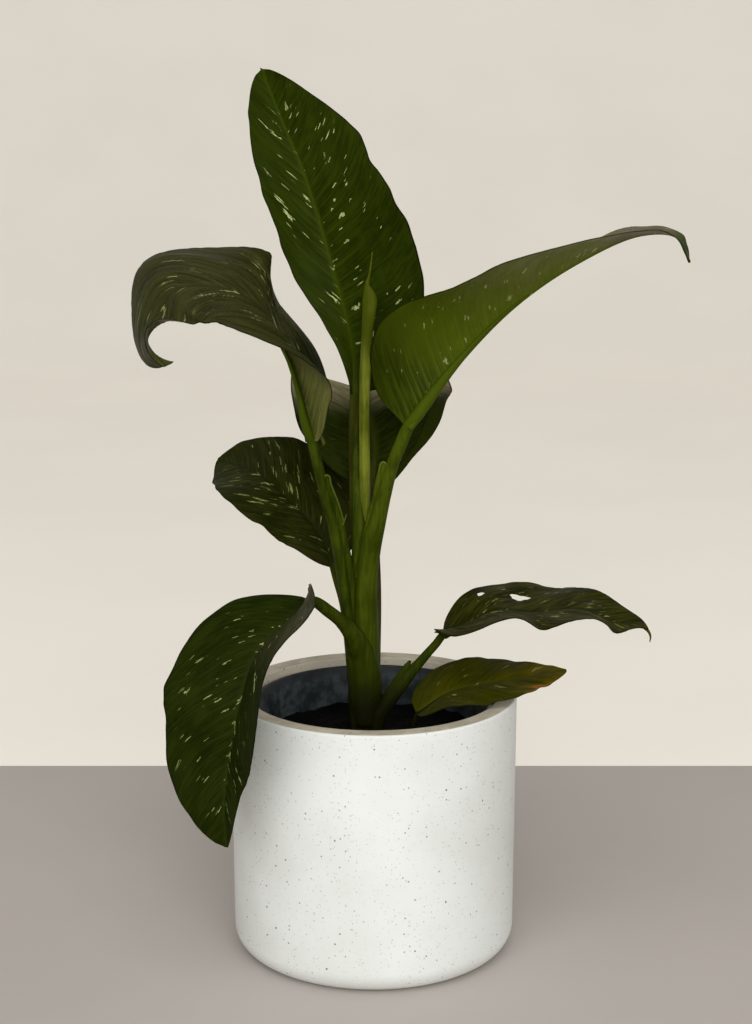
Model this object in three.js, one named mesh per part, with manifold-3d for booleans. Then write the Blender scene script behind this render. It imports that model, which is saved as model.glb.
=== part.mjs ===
// Potted dieffenbachia: a speckled cover pot with a nursery pot, soil and one young plant of
// eight leaves. Millimetres, +Z up, origin on the floor under the middle of the cover pot.
// The plant is seen from -Y, with +X to the right.
import * as THREE from 'three';
import { mergeVertices } from 'three/addons/utils/BufferGeometryUtils.js';
import Module from 'manifold-3d';

const wasm = await Module();
wasm.setup();

// Clear space between pieces that touch, and how close points are to be one
const GAP = 0.3;
const MERGE_DISTANCE = 1e-4;

// Cover pot: straight wall, flat rim, rounded foot
const POT_RADIUS = 100;
const POT_FOOT_RADIUS = 99;
const POT_HEIGHT = 184;
const POT_WALL = 13;
const POT_FLOOR = 12;
const POT_FOOT_ROUND = 16;
const POT_RIM_ROUND = 1.6;
const POT_SIDES = 56;

// Nursery pot: thin tapered cup, its rolled lip just below the rim of the cover pot
const NURSERY_LIP_DROP = 5;
const NURSERY_RADIUS = 84;
const NURSERY_FOOT_RADIUS = 66;
const NURSERY_WALL = 1.8;
const NURSERY_FLOOR = 2.5;
const NURSERY_LIP = 2.2;
const NURSERY_LIP_HEIGHT = 10;
const NURSERY_SIDES = 48;
const DRAIN_HOLES = 6;
const DRAIN_RADIUS = 6;
const DRAIN_RING_RADIUS = 44;

// Soil: its surface lies this far below the rim of the cover pot
const SOIL_DROP = 32;
const SOIL_ROUGHNESS = 2.2;
const SOIL_SIDES = 32;
const SOIL_RINGS = 6;

// Leaf blades: thickness at the rib and at the edge, the rib that stands out underneath, the waves
// of the edge, which fade to the rib by a power and are shifted from one half to the other
const BLADE_THICK = 1.3;
const BLADE_EDGE = 0.8;
const RIB_HALF_WIDTH = 2.4;
const RIB_HEIGHT = 1.8;
const RIB_TIP_HALF_WIDTH = 0.5;
const RIB_TIP_HEIGHT = 0.3;
const RIB_SWELL = 0.6;
const BASE_HALF_WIDTH = 3;
const TIP_HALF_WIDTH = 1.2;
const RIB_PART = 0.28;
const BLADE_SMOOTHING = 0.08;
const WAVE_POWER = 2.5;
const WAVE_SHIFT = 0.37;
const BLADE_STEPS = 18;
const BLADE_STATIONS = [0.4, 0.7, 1];

// Stalks: a grooved section with this many sides, and one section at least this often
const STALK_SIDES = 12;
const STALK_STEP = 14;

// Holes are cut with a long round punch
const PUNCH_LENGTH = 30;
const HOLE_SIDES = 12;

const MATERIALS = {
  pot: { color: 0xe6e4de, roughness: 0.62, metalness: 0 },
  nursery: { color: 0x2b3138, roughness: 0.55, metalness: 0 },
  soil: { color: 0x15110d, roughness: 0.95, metalness: 0 },
  leaf: { color: 0x2c4013, roughness: 0.42, metalness: 0 },
  young: { color: 0x55701a, roughness: 0.42, metalness: 0 },
  yellowing: { color: 0x6c7020, roughness: 0.5, metalness: 0 },
  stalk: { color: 0x4a6620, roughness: 0.4, metalness: 0 },
};

// Height of the soil surface, and where the plant leaves it
const SOIL_TOP = POT_HEIGHT - SOIL_DROP;

// Each leaf: stalk points as [x, y, z, half width, half depth] with the depth of the groove in
// its upper side, and the points of the blade's rib from the end of the stalk on. The upper face
// looks along [part of length, x, y, z] and is turned from there about the rib, in degrees. Left
// and right are seen from above with the tip ahead. Each half is [width, part of the length where
// it is widest, roundness of the base, of the tip]. It folds up at the rib and curls down again
// to the edge, in degrees, as [part of length, left, right], and the edge has waves. A bulge adds
// [half, part of length, width, spread] to an edge.
const LEAVES = {
  top: {
    material: 'leaf',
    stalk: [[-8, 6, 246, 5, 4.5], [-11, 9, 300, 4.6, 4], [-12, 12, 350, 4.4, 3.8],
      [-12, 14, 392, 3.8, 3.2]],
    groove: 0.3,
    rib: [[-16, 17, 430], [-30, 25, 486], [-46, 27, 539], [-60, 32, 572], [-75, 32, 609]],
    faces: [[0, -0.45, -0.9, 0], [0.5, -0.4, -0.9, 0.1], [1, -0.3, -0.9, 0.3]],
    turn: [[0, 46], [0.5, -4], [1, -14]],
    halves: [[33, 0.6, 0.86, 0.58], [63, 0.44, 0.52, 0.68]],
    fold: [[0, 31, 17], [0.5, 24, 11], [1, 10, 9]],
    curl: [[0, 10, 10], [0.5, 15, 14], [1, 0, 0]],
    wave: { count: 2.5, height: 2, phase: 0.4 },
  },
  right: {
    material: 'young',
    stalk: [[-5, -5, 200, 6.5, 4.4], [-4, -7, 226, 8, 5], [-3, -9, 266, 8.8, 5.6], [3, -13, 308, 6.8, 5],
      [13, -19, 350, 4.8, 4.2], [23, -24, 375, 4.6, 4]],
    groove: 0.5,
    rib: [[52, -27, 415], [89, -40, 456], [130, -63, 488], [169, -71, 506], [191, -77, 505],
      [198, -86, 490]],
    faces: [[0, -0.4, 0.75, 0.5], [0.4, -0.35, 0.6, 0.7], [0.75, -0.2, -0.1, 1], [0.9, 0.4, -0.1, 0.9],
      [1, 0.9, 0, 0.3]],
    turn: [[0, -20], [0.35, 17], [0.7, -1], [1, 16]],
    halves: [[54, 0.4, 0.45, 0.9], [61, 0.37, 0.38, 0.88]],
    fold: [[0, 62, 58], [0.5, 30, 27], [0.8, 8, 29], [1, 8, 7]],
    curl: [[0, 10, 8], [0.5, 20, 22], [1, 10, 10]],
    wave: { count: 3, height: 1.5, phase: 1.2 },
  },
  left: {
    material: 'leaf',
    stalk: [[-13, -4, 204, 6, 4.4], [-15, -6, 226, 7.4, 5], [-19, -8, 262, 7.4, 5], [-27, -13, 303, 6.2, 4.6],
      [-36, -20, 342, 4.4, 4], [-41, -24, 366, 4.6, 3.8]],
    groove: 0.4,
    rib: [[-48, -33, 402], [-57, -52, 430], [-74, -69, 461], [-96, -70, 472], [-126, -76, 471],
      [-135, -78, 454], [-143, -88, 441], [-131, -99, 426]],
    faces: [[0, 0.95, -0.2, 0.2], [0.3, 0.7, -0.45, 0.5], [0.55, 0.25, -0.6, 0.75],
      [0.75, -0.4, -0.5, 0.75], [0.9, -0.9, -0.2, 0.2], [1, -0.75, -0.1, -0.65]],
    turn: [[0, 9], [0.2, 12], [0.4, 31], [0.6, 21], [0.8, -11], [1, 32]],
    halves: [[50, 0.55, 0.51, 0.9], [61, 0.55, 0.48, 0.58]],
    bulges: [[1, 0.475, 11.8, 0.063]],
    fold: [[0, 42, 45], [0.25, 37, 18], [0.5, -1, 18], [0.75, 13, 2], [1, 5, 1]],
    curl: [[0, 10, 10], [0.25, 9, 15], [0.5, 12, 8], [0.75, 19, 23], [1, 12, 13]],
    wave: { count: 2, height: 2, phase: 0 },
  },
  back: {
    material: 'leaf',
    stalk: [[0, 6, 184, 5, 3.6], [3, 8, 212, 6, 4], [4, 12, 252, 5.6, 4.2], [1, 18, 290, 4.6, 4],
      [-3, 24, 326, 4, 3.6]],
    groove: 0.3,
    rib: [[1, 38, 348], [-3, 58, 371], [-4, 86, 383], [-1, 108, 366], [-4, 130, 334], [-9, 146, 298],
      [-17, 156, 256]],
    faces: [[0, 0, -0.95, 0.3], [0.36, 0, -0.55, 0.85], [0.58, 0, 0.3, 0.95], [1, 0, 0.95, 0.25]],
    turn: [[0, -4], [0.5, 1], [1, 6]],
    halves: [[56.5, 0.38, 0.56, 1.1], [59, 0.43, 1.15, 1.8]],
    bulges: [[1, 0.6, 3, 0.06]],
    fold: [[0, 8, 12], [0.4, 16, 18], [1, 8, 7]],
    curl: [[0, 8, 8], [0.5, 8, 7], [1, 10, 10]],
    wave: { count: 2, height: 2, phase: 0.8 },
  },
  mid_left: {
    material: 'leaf',
    stalk: [[-16, 7, 214, 4.4, 3.6], [-20, 11, 244, 4.2, 3.6], [-25, 17, 260, 3.8, 3.4],
      [-28, 21, 269, 3.4, 3.2]],
    groove: 0.2,
    rib: [[-39, 43, 288], [-54, 51, 303], [-80, 62, 325], [-114, 96, 331]],
    faces: [[0, 0.1, -0.8, 0.6], [0.5, 0, -0.75, 0.65], [1, -0.1, -0.7, 0.7]],
    turn: [[0, -12], [0.5, 24], [1, -8]],
    halves: [[39, 0.52, 0.58, 0.75], [58, 0.5, 0.49, 0.84]],
    fold: [[0, 28, 30], [0.5, 7, 3], [1, 8, 9]],
    curl: [[0, 5, 5], [0.5, 12, 12], [1, 0, 0]],
    wave: { count: 2.5, height: 2, phase: 0.3 },
  },
  drooping: {
    material: 'leaf',
    stalk: [[-10, -12, 170, 8, 3.4], [-11, -13, 198, 8, 4], [-16, -16, 222, 6, 4.4],
      [-23, -25, 241, 5.2, 4.2], [-32, -34, 253, 4.8, 4], [-41, -40, 259, 3.6, 3.2]],
    groove: 0.3,
    rib: [[-64, -62, 245], [-78, -75, 230], [-87, -89, 204], [-92, -91, 181], [-96, -88, 157],
      [-98, -96, 130], [-97, -96, 106]],
    faces: [[0, -0.3, -0.6, 0.9], [0.3, -0.6, -0.8, 0.3], [0.6, -0.5, -0.9, 0.1], [1, -0.5, -0.9, 0]],
    turn: [[0, 11], [1, 10]],
    halves: [[48, 0.39, 0.52, 1.01], [55, 0.45, 0.72, 0.54]],
    fold: [[0, 77, 24], [0.12, 35, 27], [0.5, 36, 26], [1, 14, 13]],
    curl: [[0, 12, 13], [0.5, 11, 11], [1, 0, 0]],
    wave: { count: 3, height: 1.5, phase: 0.6 },
  },
  low_right: {
    material: 'leaf',
    stalk: [[0, -7, 144, 6, 6], [7, -7, 170, 6.4, 6.6], [19, -7, 189, 6, 6], [32, -7, 207, 3.8, 4],
      [48, -8, 227, 3.2, 3]],
    groove: 0.15,
    rib: [[67, -14, 239], [85, -14, 246], [108, -12, 244], [142, -12, 246], [167, -8, 236],
      [184, -10, 234], [189, -12, 232]],
    faces: [[0, -0.4, -0.1, 0.9], [0.5, 0, -0.05, 1], [1, 0.6, -0.1, 0.8]],
    turn: [[0, 4], [1, 7]],
    halves: [[49, 0.5, 0.52, 0.86], [41, 0.41, 0.5, 0.89]],
    fold: [[0, 19, 51], [0.12, 16, 17], [0.5, 3, 15], [1, 14, 10]],
    curl: [[0, 3, 4], [0.5, 11, 7], [1, 8, 9]],
    wave: { count: 2.6, height: 4, phase: 0.1 },
    holes: [[0.23, 0.68, 3.4, 3.6], [0.405, 0.5, 7, 5.2]],
  },
  yellowing: {
    material: 'yellowing',
    stalk: [[23, -20, 148, 2.4, 2.2], [27, -21, 164, 2.2, 2], [30, -22, 174, 2, 1.8]],
    groove: 0.2,
    rib: [[50, -20, 188], [79, -20, 196], [103, -18, 199], [133, -14, 203]],
    faces: [[0, -0.3, -0.5, 0.85], [0.5, -0.1, -0.5, 0.9], [1, 0, -0.4, 0.9]],
    turn: [[0, -10], [1, -8]],
    halves: [[29, 0.39, 0.58, 0.8], [25, 0.47, 0.53, 0.77]],
    fold: [[0, 16, 19], [0.5, 8, 9], [1, 2, 4]],
    curl: [[0, 5, 5], [0.5, 11, 10], [1, 7, 7]],
    wave: { count: 2, height: 1, phase: 0.5 },
  },
};

// Main stem and rolled new leaf, as [x, y, z, half width, half depth]
const STEM = [[-6, 1, 108, 7, 7], [-6, 1, 120, 10.5, 10], [-6.5, 1, 170, 11.4, 10.5],
  [-6.5, 1, 215, 11.2, 10], [-7, 1, 244, 9.5, 8], [-7, 1, 262, 7, 6]];
const NEW_LEAF = [[-6, -3, 264, 4, 3.6], [-6.5, -4, 300, 4, 3.8], [-7, -6, 350, 3.9, 3.8],
  [-7, -7, 400, 3.9, 3.6], [-6, -8, 436, 4.4, 3.4], [-4, -8, 456, 5, 2.6], [-4, -8, 470, 1.8, 1.6],
  [-2.5, -8, 489, 0.8, 0.8]];
const FACE_THE_FRONT = new THREE.Vector3(0, -1, 0);

// Value at t of a smooth line through keys [t, value, value...]
function keyed(keys, t) {
  let i = 0;
  while (i < keys.length - 2 && t > keys[i + 1][0]) i += 1;
  const slope = (a, b, c) => (keys[b][c] - keys[a][c]) / (keys[b][0] - keys[a][0]);
  const before = Math.max(i - 1, 0);
  const after = Math.min(i + 2, keys.length - 1);
  const span = keys[i + 1][0] - keys[i][0];
  const u = THREE.MathUtils.clamp((t - keys[i][0]) / span, 0, 1);
  return keys[i].slice(1).map((value, column) => {
    const c = column + 1;
    const start = slope(before, i + 1, c) * span;
    const end = slope(i, after, c) * span;
    return value * (1 + 2 * u) * (1 - u) ** 2 + keys[i + 1][c] * u * u * (3 - 2 * u)
      + start * u * (1 - u) ** 2 - end * u * u * (1 - u);
  });
}

const degrees = THREE.MathUtils.degToRad;

// Indexed geometry from points and faces, with merged vertices
function geometryFrom(points, faces) {
  const geometry = new THREE.BufferGeometry();
  const places = points.flatMap((p) => p.toArray());
  geometry.setAttribute('position', new THREE.Float32BufferAttribute(places, 3));
  geometry.setIndex(faces.flat());
  return mergeVertices(geometry, MERGE_DISTANCE);
}

function toManifold(geometry) {
  const bare = geometry.clone();
  bare.deleteAttribute('normal');
  bare.deleteAttribute('uv');
  const merged = mergeVertices(bare, MERGE_DISTANCE);
  return new wasm.Manifold(new wasm.Mesh({
    numProp: 3,
    vertProperties: new Float32Array(merged.attributes.position.array),
    triVerts: new Uint32Array(merged.index.array),
  }));
}

// Back to a geometry, keeping the largest body
function fromManifold(solid) {
  const bodies = solid.decompose();
  const largest = bodies.reduce((a, b) => (b.volume() > a.volume() ? b : a));
  const mesh = largest.getMesh();
  const geometry = new THREE.BufferGeometry();
  geometry.setAttribute('position', new THREE.Float32BufferAttribute(mesh.vertProperties, 3));
  geometry.setIndex([...mesh.triVerts]);
  return geometry;
}

// Centre line of a stalk or rib
function lineThrough(points) {
  return new THREE.CatmullRomCurve3(points.map(([x, y, z]) => new THREE.Vector3(x, y, z)));
}

// Along, across and upper-face directions at part t of a line, smoothed over a part of its length
function directionsAt(line, t, facing, turn = 0, smooth = 0.001) {
  const ahead = line.getPointAt(Math.min(t + smooth, 1));
  const along = ahead.sub(line.getPointAt(Math.max(t - smooth, 0))).normalize();
  const across = new THREE.Vector3().crossVectors(along, facing).normalize();
  const up = new THREE.Vector3().crossVectors(across, along).normalize();
  across.applyAxisAngle(along, degrees(turn));
  up.applyAxisAngle(along, degrees(turn));
  return { along, across, up };
}

// A stalk: grooved sections lofted along its line, grown by extra all round
function stalkGeometry(points, groove, facing, extra = 0) {
  const line = lineThrough(points);
  const length = line.getLength();
  const steps = Math.max(4, Math.round(length / STALK_STEP));
  const lengths = points.map((p, i) => (i === 0 ? 0 : new THREE.Vector3(...p)
    .distanceTo(new THREE.Vector3(...points[i - 1]))));
  const total = lengths.reduce((a, b) => a + b, 0);
  let run = 0;
  const sizes = points.map((p, i) => {
    run += lengths[i];
    return [run / total, p[3], p[4]];
  });
  const vertices = [];
  const faces = [];
  for (let i = 0; i <= steps; i += 1) {
    const t = i / steps;
    const { along, across, up } = directionsAt(line, t, facing);
    const centre = line.getPointAt(t);
    if (i === 0) centre.addScaledVector(along, -extra);
    if (i === steps) centre.addScaledVector(along, extra);
    const [wide, deep] = keyed(sizes, t);
    for (let k = 0; k < STALK_SIDES; k += 1) {
      const angle = (2 * Math.PI * k) / STALK_SIDES;
      const rise = Math.sin(angle) > 0 ? 1 - groove * Math.sin(angle) ** 4 : 1;
      vertices.push(centre.clone()
        .addScaledVector(across, (wide + extra) * Math.cos(angle))
        .addScaledVector(up, (deep + extra) * Math.sin(angle) * rise));
    }
  }
  const ring = (i, k) => i * STALK_SIDES + (k % STALK_SIDES);
  for (let i = 0; i < steps; i += 1) {
    for (let k = 0; k < STALK_SIDES; k += 1) {
      const [a, b, c, d] = [ring(i, k), ring(i, k + 1), ring(i + 1, k + 1), ring(i + 1, k)];
      faces.push([a, c, b], [a, d, c]);
    }
  }
  for (const [i, flip] of [[0, true], [steps, false]]) {
    const middle = new THREE.Vector3();
    for (let k = 0; k < STALK_SIDES; k += 1) middle.addScaledVector(vertices[ring(i, k)], 1 / STALK_SIDES);
    vertices.push(middle);
    const m = vertices.length - 1;
    for (let k = 0; k < STALK_SIDES; k += 1) {
      faces.push(flip ? [m, ring(i, k), ring(i, k + 1)] : [m, ring(i, k + 1), ring(i, k)]);
    }
  }
  return geometryFrom(vertices, faces);
}

// Half width of a blade at part t of its length: a round base and a drawn-out tip
function halfWidth(leaf, side, t) {
  const [width, widest, baseShape, tipShape] = leaf.halves[side];
  const power = Math.log(0.5) / Math.log(widest);
  const blend = THREE.MathUtils.smoothstep(t, 0.2, 0.9);
  const shape = Math.max(Math.sin(Math.PI * t ** power), 0) ** (baseShape + (tipShape - baseShape) * blend);
  const least = BASE_HALF_WIDTH + (TIP_HALF_WIDTH - BASE_HALF_WIDTH) * t;
  const bulges = (leaf.bulges ?? []).filter((bulge) => bulge[0] === side);
  const swell = bulges.reduce((sum, [, where, height, spread]) => (
    sum + height * Math.exp(-(((t - where) / spread) ** 2))), 0);
  return least + (width - least) * shape + swell;
}

// Point of a blade's middle surface, a part of the way from the rib to one edge, and its normal
function bladePoint(leaf, line, t, side, part) {
  const facing = new THREE.Vector3(...keyed(leaf.faces, t));
  const { across, up } = directionsAt(line, t, facing, keyed(leaf.turn, t)[0], BLADE_SMOOTHING);
  const width = halfWidth(leaf, side, t);
  const fold = degrees(keyed(leaf.fold, t)[side]);
  const bend = degrees(keyed(leaf.curl, t)[side]) / width;
  const reach = width * part;
  const turned = fold - bend * reach;
  const { count, height, phase } = leaf.wave;
  const envelope = Math.sin(Math.PI * t);
  const turns = count * t + phase + WAVE_SHIFT * side;
  const ripple = height * envelope * part ** WAVE_POWER * Math.sin(2 * Math.PI * turns);
  const bent = Math.abs(bend) > 1e-6;
  const out = bent ? (Math.sin(fold) - Math.sin(turned)) / bend : Math.cos(fold) * reach;
  const rise = bent ? (Math.cos(turned) - Math.cos(fold)) / bend : Math.sin(fold) * reach;
  const sign = side === 0 ? -1 : 1;
  const point = line.getPointAt(t).addScaledVector(across, sign * out).addScaledVector(up, rise + ripple);
  const tilt = turned * Math.min(reach / RIB_HALF_WIDTH, 1);
  const normal = up.clone().multiplyScalar(Math.cos(tilt)).addScaledVector(across, -sign * Math.sin(tilt));
  return { point, normal };
}

// Rib under a blade at part t of its length: it leaves the stalk almost as thick as that is
function ribAt(leaf, t) {
  const [, , , wide, deep] = leaf.stalk.at(-1);
  const swell = RIB_SWELL * (1 - t) ** 4;
  const halfWidth = THREE.MathUtils.lerp(RIB_HALF_WIDTH, RIB_TIP_HALF_WIDTH, t);
  const height = THREE.MathUtils.lerp(RIB_HEIGHT, RIB_TIP_HEIGHT, t);
  return {
    halfWidth: THREE.MathUtils.lerp(halfWidth, wide, swell),
    height: THREE.MathUtils.lerp(height, 2 * deep, swell),
  };
}

// Both faces of a blade, split into triangles alike, with a rib standing out of the lower one
function bladeGeometry(leaf) {
  const line = lineThrough([leaf.stalk.at(-1), ...leaf.rib]);
  const columns = [...BLADE_STATIONS.slice().reverse().map((s) => [0, s]), [0, 'rib'], [1, 0], [1, 'rib'],
    ...BLADE_STATIONS.map((s) => [1, s])];
  const upper = [];
  const lower = [];
  for (let i = 0; i <= BLADE_STEPS; i += 1) {
    const t = i / BLADE_STEPS;
    const rib = ribAt(leaf, t);
    columns.forEach(([side, station]) => {
      const width = halfWidth(leaf, side, t);
      const part = station === 'rib' ? Math.min(rib.halfWidth / width, RIB_PART) : station;
      const { point, normal } = bladePoint(leaf, line, t, side, part);
      const thick = BLADE_THICK + (BLADE_EDGE - BLADE_THICK) * part;
      const ridge = station === 0 ? rib.height : 0;
      upper.push(point.clone().addScaledVector(normal, thick / 2));
      lower.push(point.clone().addScaledVector(normal, -thick / 2 - ridge));
    });
  }
  const n = columns.length;
  const at = (i, j) => i * n + j;
  const offset = upper.length;
  const faces = [];
  for (let i = 0; i < BLADE_STEPS; i += 1) {
    for (let j = 0; j < n - 1; j += 1) {
      const [a, b, c, d] = [at(i, j), at(i, j + 1), at(i + 1, j + 1), at(i + 1, j)];
      const split = j < (n - 1) / 2 ? [[a, b, c], [a, c, d]] : [[a, b, d], [b, c, d]];
      split.forEach((f) => faces.push(f, f.map((v) => v + offset).reverse()));
    }
  }
  const edge = [];
  for (let j = 0; j < n - 1; j += 1) edge.push(at(0, j));
  for (let i = 0; i < BLADE_STEPS; i += 1) edge.push(at(i, n - 1));
  for (let j = n - 1; j > 0; j -= 1) edge.push(at(BLADE_STEPS, j));
  for (let i = BLADE_STEPS; i > 0; i -= 1) edge.push(at(i, 0));
  edge.forEach((a, k) => {
    const b = edge[(k + 1) % edge.length];
    faces.push([a + offset, b + offset, b], [a + offset, b, a]);
  });
  const blade = geometryFrom([...upper, ...lower], faces);
  return leaf.holes ? withHoles(leaf, line, blade) : blade;
}

// Oval holes through a blade, as [part of length, part of the left half, half length, half width]
function withHoles(leaf, line, blade) {
  let solid = toManifold(blade);
  leaf.holes.forEach(([t, part, long, wide]) => {
    const { point, normal } = bladePoint(leaf, line, t, 0, part);
    const punch = new THREE.CylinderGeometry(1, 1, PUNCH_LENGTH, HOLE_SIDES);
    punch.scale(long, 1, wide);
    const turn = new THREE.Quaternion().setFromUnitVectors(new THREE.Vector3(0, 1, 0), normal);
    punch.applyQuaternion(turn);
    punch.translate(point.x, point.y, point.z);
    solid = solid.subtract(toManifold(punch));
  });
  return fromManifold(solid);
}

function latheGeometry(profile, sides) {
  const turned = new THREE.LatheGeometry(profile.map(([r, z]) => new THREE.Vector2(r, z)), sides);
  turned.rotateX(Math.PI / 2);
  turned.deleteAttribute('normal');
  turned.deleteAttribute('uv');
  return mergeVertices(turned, MERGE_DISTANCE);
}

// Points of a round corner about (r, z), from one angle to another in degrees
function corner(r, z, radius, from, to, steps) {
  return Array.from({ length: steps + 1 }, (_, i) => {
    const angle = degrees(from + ((to - from) * i) / steps);
    return [r + radius * Math.cos(angle), z + radius * Math.sin(angle)];
  });
}

function coverPot() {
  const inner = POT_RADIUS - POT_WALL;
  return latheGeometry([
    [0, 0],
    ...corner(POT_FOOT_RADIUS - POT_FOOT_ROUND, POT_FOOT_ROUND, POT_FOOT_ROUND, -90, 0, 5),
    ...corner(POT_RADIUS - POT_RIM_ROUND, POT_HEIGHT - POT_RIM_ROUND, POT_RIM_ROUND, 0, 90, 2),
    ...corner(inner + POT_RIM_ROUND, POT_HEIGHT - POT_RIM_ROUND, POT_RIM_ROUND, 90, 180, 2),
    [inner, POT_FLOOR + 8],
    [inner - 8, POT_FLOOR],
    [0, POT_FLOOR],
  ], POT_SIDES);
}

// Inner radius of the nursery pot at height z
function nurseryInside(z) {
  const foot = POT_FLOOR + GAP + NURSERY_FLOOR;
  const top = POT_HEIGHT - NURSERY_LIP_DROP;
  const grow = (z - foot) / (top - foot);
  return NURSERY_FOOT_RADIUS + (NURSERY_RADIUS - NURSERY_LIP - NURSERY_FOOT_RADIUS) * grow - NURSERY_WALL;
}

function nurseryPot() {
  const bottom = POT_FLOOR + GAP;
  const foot = bottom + NURSERY_FLOOR;
  const top = POT_HEIGHT - NURSERY_LIP_DROP;
  const step = top - NURSERY_LIP_HEIGHT;
  let pot = toManifold(latheGeometry([
    [0, bottom],
    [NURSERY_FOOT_RADIUS - 3, bottom],
    [NURSERY_FOOT_RADIUS, foot],
    [nurseryInside(step) + NURSERY_WALL, step],
    [NURSERY_RADIUS, step + 2],
    [NURSERY_RADIUS, top - 1],
    [NURSERY_RADIUS - 1, top],
    [nurseryInside(top) + 0.8, top],
    [nurseryInside(top), top - 0.8],
    [nurseryInside(foot), foot],
    [0, foot],
  ], NURSERY_SIDES));
  for (let k = 0; k < DRAIN_HOLES; k += 1) {
    const angle = (2 * Math.PI * k) / DRAIN_HOLES;
    const hole = new THREE.CylinderGeometry(DRAIN_RADIUS, DRAIN_RADIUS, PUNCH_LENGTH, HOLE_SIDES);
    hole.rotateX(Math.PI / 2);
    hole.translate(DRAIN_RING_RADIUS * Math.cos(angle), DRAIN_RING_RADIUS * Math.sin(angle), bottom);
    pot = pot.subtract(toManifold(hole));
  }
  return fromManifold(pot);
}

// Soil: a tapered body whose top is uneven, with plain holes for the stems that stand in it
function pottingSoil(stems) {
  const bottom = POT_FLOOR + NURSERY_FLOOR + 2 * GAP;
  const vertices = [new THREE.Vector3(0, 0, bottom)];
  const ringAt = (radius, height) => {
    const first = vertices.length;
    for (let k = 0; k < SOIL_SIDES; k += 1) {
      const angle = (2 * Math.PI * k) / SOIL_SIDES;
      const [x, y] = [radius * Math.cos(angle), radius * Math.sin(angle)];
      vertices.push(new THREE.Vector3(x, y, height(x, y)));
    }
    return first;
  };
  const uneven = (x, y) => SOIL_TOP + SOIL_ROUGHNESS * (0.5 * Math.sin(0.11 * x + 0.7) * Math.cos(0.13 * y)
    + 0.3 * Math.sin(0.29 * x - 0.21 * y) + 0.2 * Math.cos(0.37 * y + 0.17 * x));
  const starts = [ringAt(nurseryInside(bottom) - GAP, () => bottom)];
  for (let r = 0; r < SOIL_RINGS; r += 1) {
    starts.push(ringAt((nurseryInside(SOIL_TOP) - GAP - 0.1) * (1 - r / SOIL_RINGS), uneven));
  }
  vertices.push(new THREE.Vector3(0, 0, uneven(0, 0)));
  const faces = [];
  for (let k = 0; k < SOIL_SIDES; k += 1) {
    const next = (k + 1) % SOIL_SIDES;
    faces.push([0, starts[0] + next, starts[0] + k]);
    for (let r = 0; r < starts.length - 1; r += 1) {
      const [a, b] = [starts[r], starts[r + 1]];
      faces.push([a + k, a + next, b + next], [a + k, b + next, b + k]);
    }
    faces.push([starts.at(-1) + k, starts.at(-1) + next, vertices.length - 1]);
  }
  let soil = toManifold(geometryFrom(vertices, faces));
  stems.forEach((stem) => {
    soil = soil.subtract(toManifold(stem));
  });
  return fromManifold(soil);
}

const plant = new THREE.Group();

function addPiece(name, geometry, material) {
  geometry.computeVertexNormals();
  const mesh = new THREE.Mesh(geometry, new THREE.MeshStandardMaterial(MATERIALS[material]));
  mesh.name = name;
  plant.add(mesh);
}

// Stalks in the order in which they wrap: each is cut back to clear those before it
const placed = [];

function addStalk(name, points, groove, facing, material) {
  let solid = toManifold(stalkGeometry(points, groove, facing));
  placed.forEach((other) => {
    solid = solid.subtract(other);
  });
  placed.push(toManifold(stalkGeometry(points, groove, facing, GAP)));
  addPiece(name, fromManifold(solid), material);
}

const stalkFacing = (leaf) => new THREE.Vector3(...leaf.faces[0].slice(1));

addStalk('main_stem', STEM, 0, FACE_THE_FRONT, 'stalk');
addStalk('new_leaf', NEW_LEAF, 0, FACE_THE_FRONT, 'young');
for (const [name, leaf] of Object.entries(LEAVES)) {
  addStalk(`stalk_${name}`, leaf.stalk, leaf.groove, stalkFacing(leaf), 'stalk');
}

// Blades: each is cut back to clear the end of its stalk
for (const [name, leaf] of Object.entries(LEAVES)) {
  const stalk = toManifold(stalkGeometry(leaf.stalk, leaf.groove, stalkFacing(leaf), GAP));
  const blade = toManifold(bladeGeometry(leaf)).subtract(stalk);
  addPiece(`leaf_${name}`, fromManifold(blade), leaf.material);
}

const rooted = [LEAVES.low_right, LEAVES.yellowing];
const buried = [
  stalkGeometry(STEM, 0, FACE_THE_FRONT, GAP),
  ...rooted.map((leaf) => stalkGeometry(leaf.stalk, leaf.groove, stalkFacing(leaf), GAP)),
];
addPiece('potting_soil', pottingSoil(buried), 'soil');
addPiece('nursery_pot', nurseryPot(), 'nursery');
addPiece('cover_pot', coverPot(), 'pot');

export default plant;
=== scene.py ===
import math

import bpy
import numpy as np
from mathutils import Euler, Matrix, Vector


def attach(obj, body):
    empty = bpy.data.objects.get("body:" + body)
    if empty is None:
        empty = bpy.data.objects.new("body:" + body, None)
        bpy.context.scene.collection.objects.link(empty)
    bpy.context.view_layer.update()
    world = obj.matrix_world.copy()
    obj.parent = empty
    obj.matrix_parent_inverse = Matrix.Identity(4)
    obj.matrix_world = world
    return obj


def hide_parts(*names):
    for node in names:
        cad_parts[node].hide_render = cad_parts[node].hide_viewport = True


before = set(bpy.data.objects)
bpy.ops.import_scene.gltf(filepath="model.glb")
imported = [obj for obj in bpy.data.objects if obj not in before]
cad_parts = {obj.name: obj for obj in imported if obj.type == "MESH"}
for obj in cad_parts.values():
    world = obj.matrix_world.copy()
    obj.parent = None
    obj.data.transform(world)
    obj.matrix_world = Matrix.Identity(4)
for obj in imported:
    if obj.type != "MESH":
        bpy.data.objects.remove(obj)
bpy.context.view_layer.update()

MM = 0.001
FRONT = [0, -1, 0.2]

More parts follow.
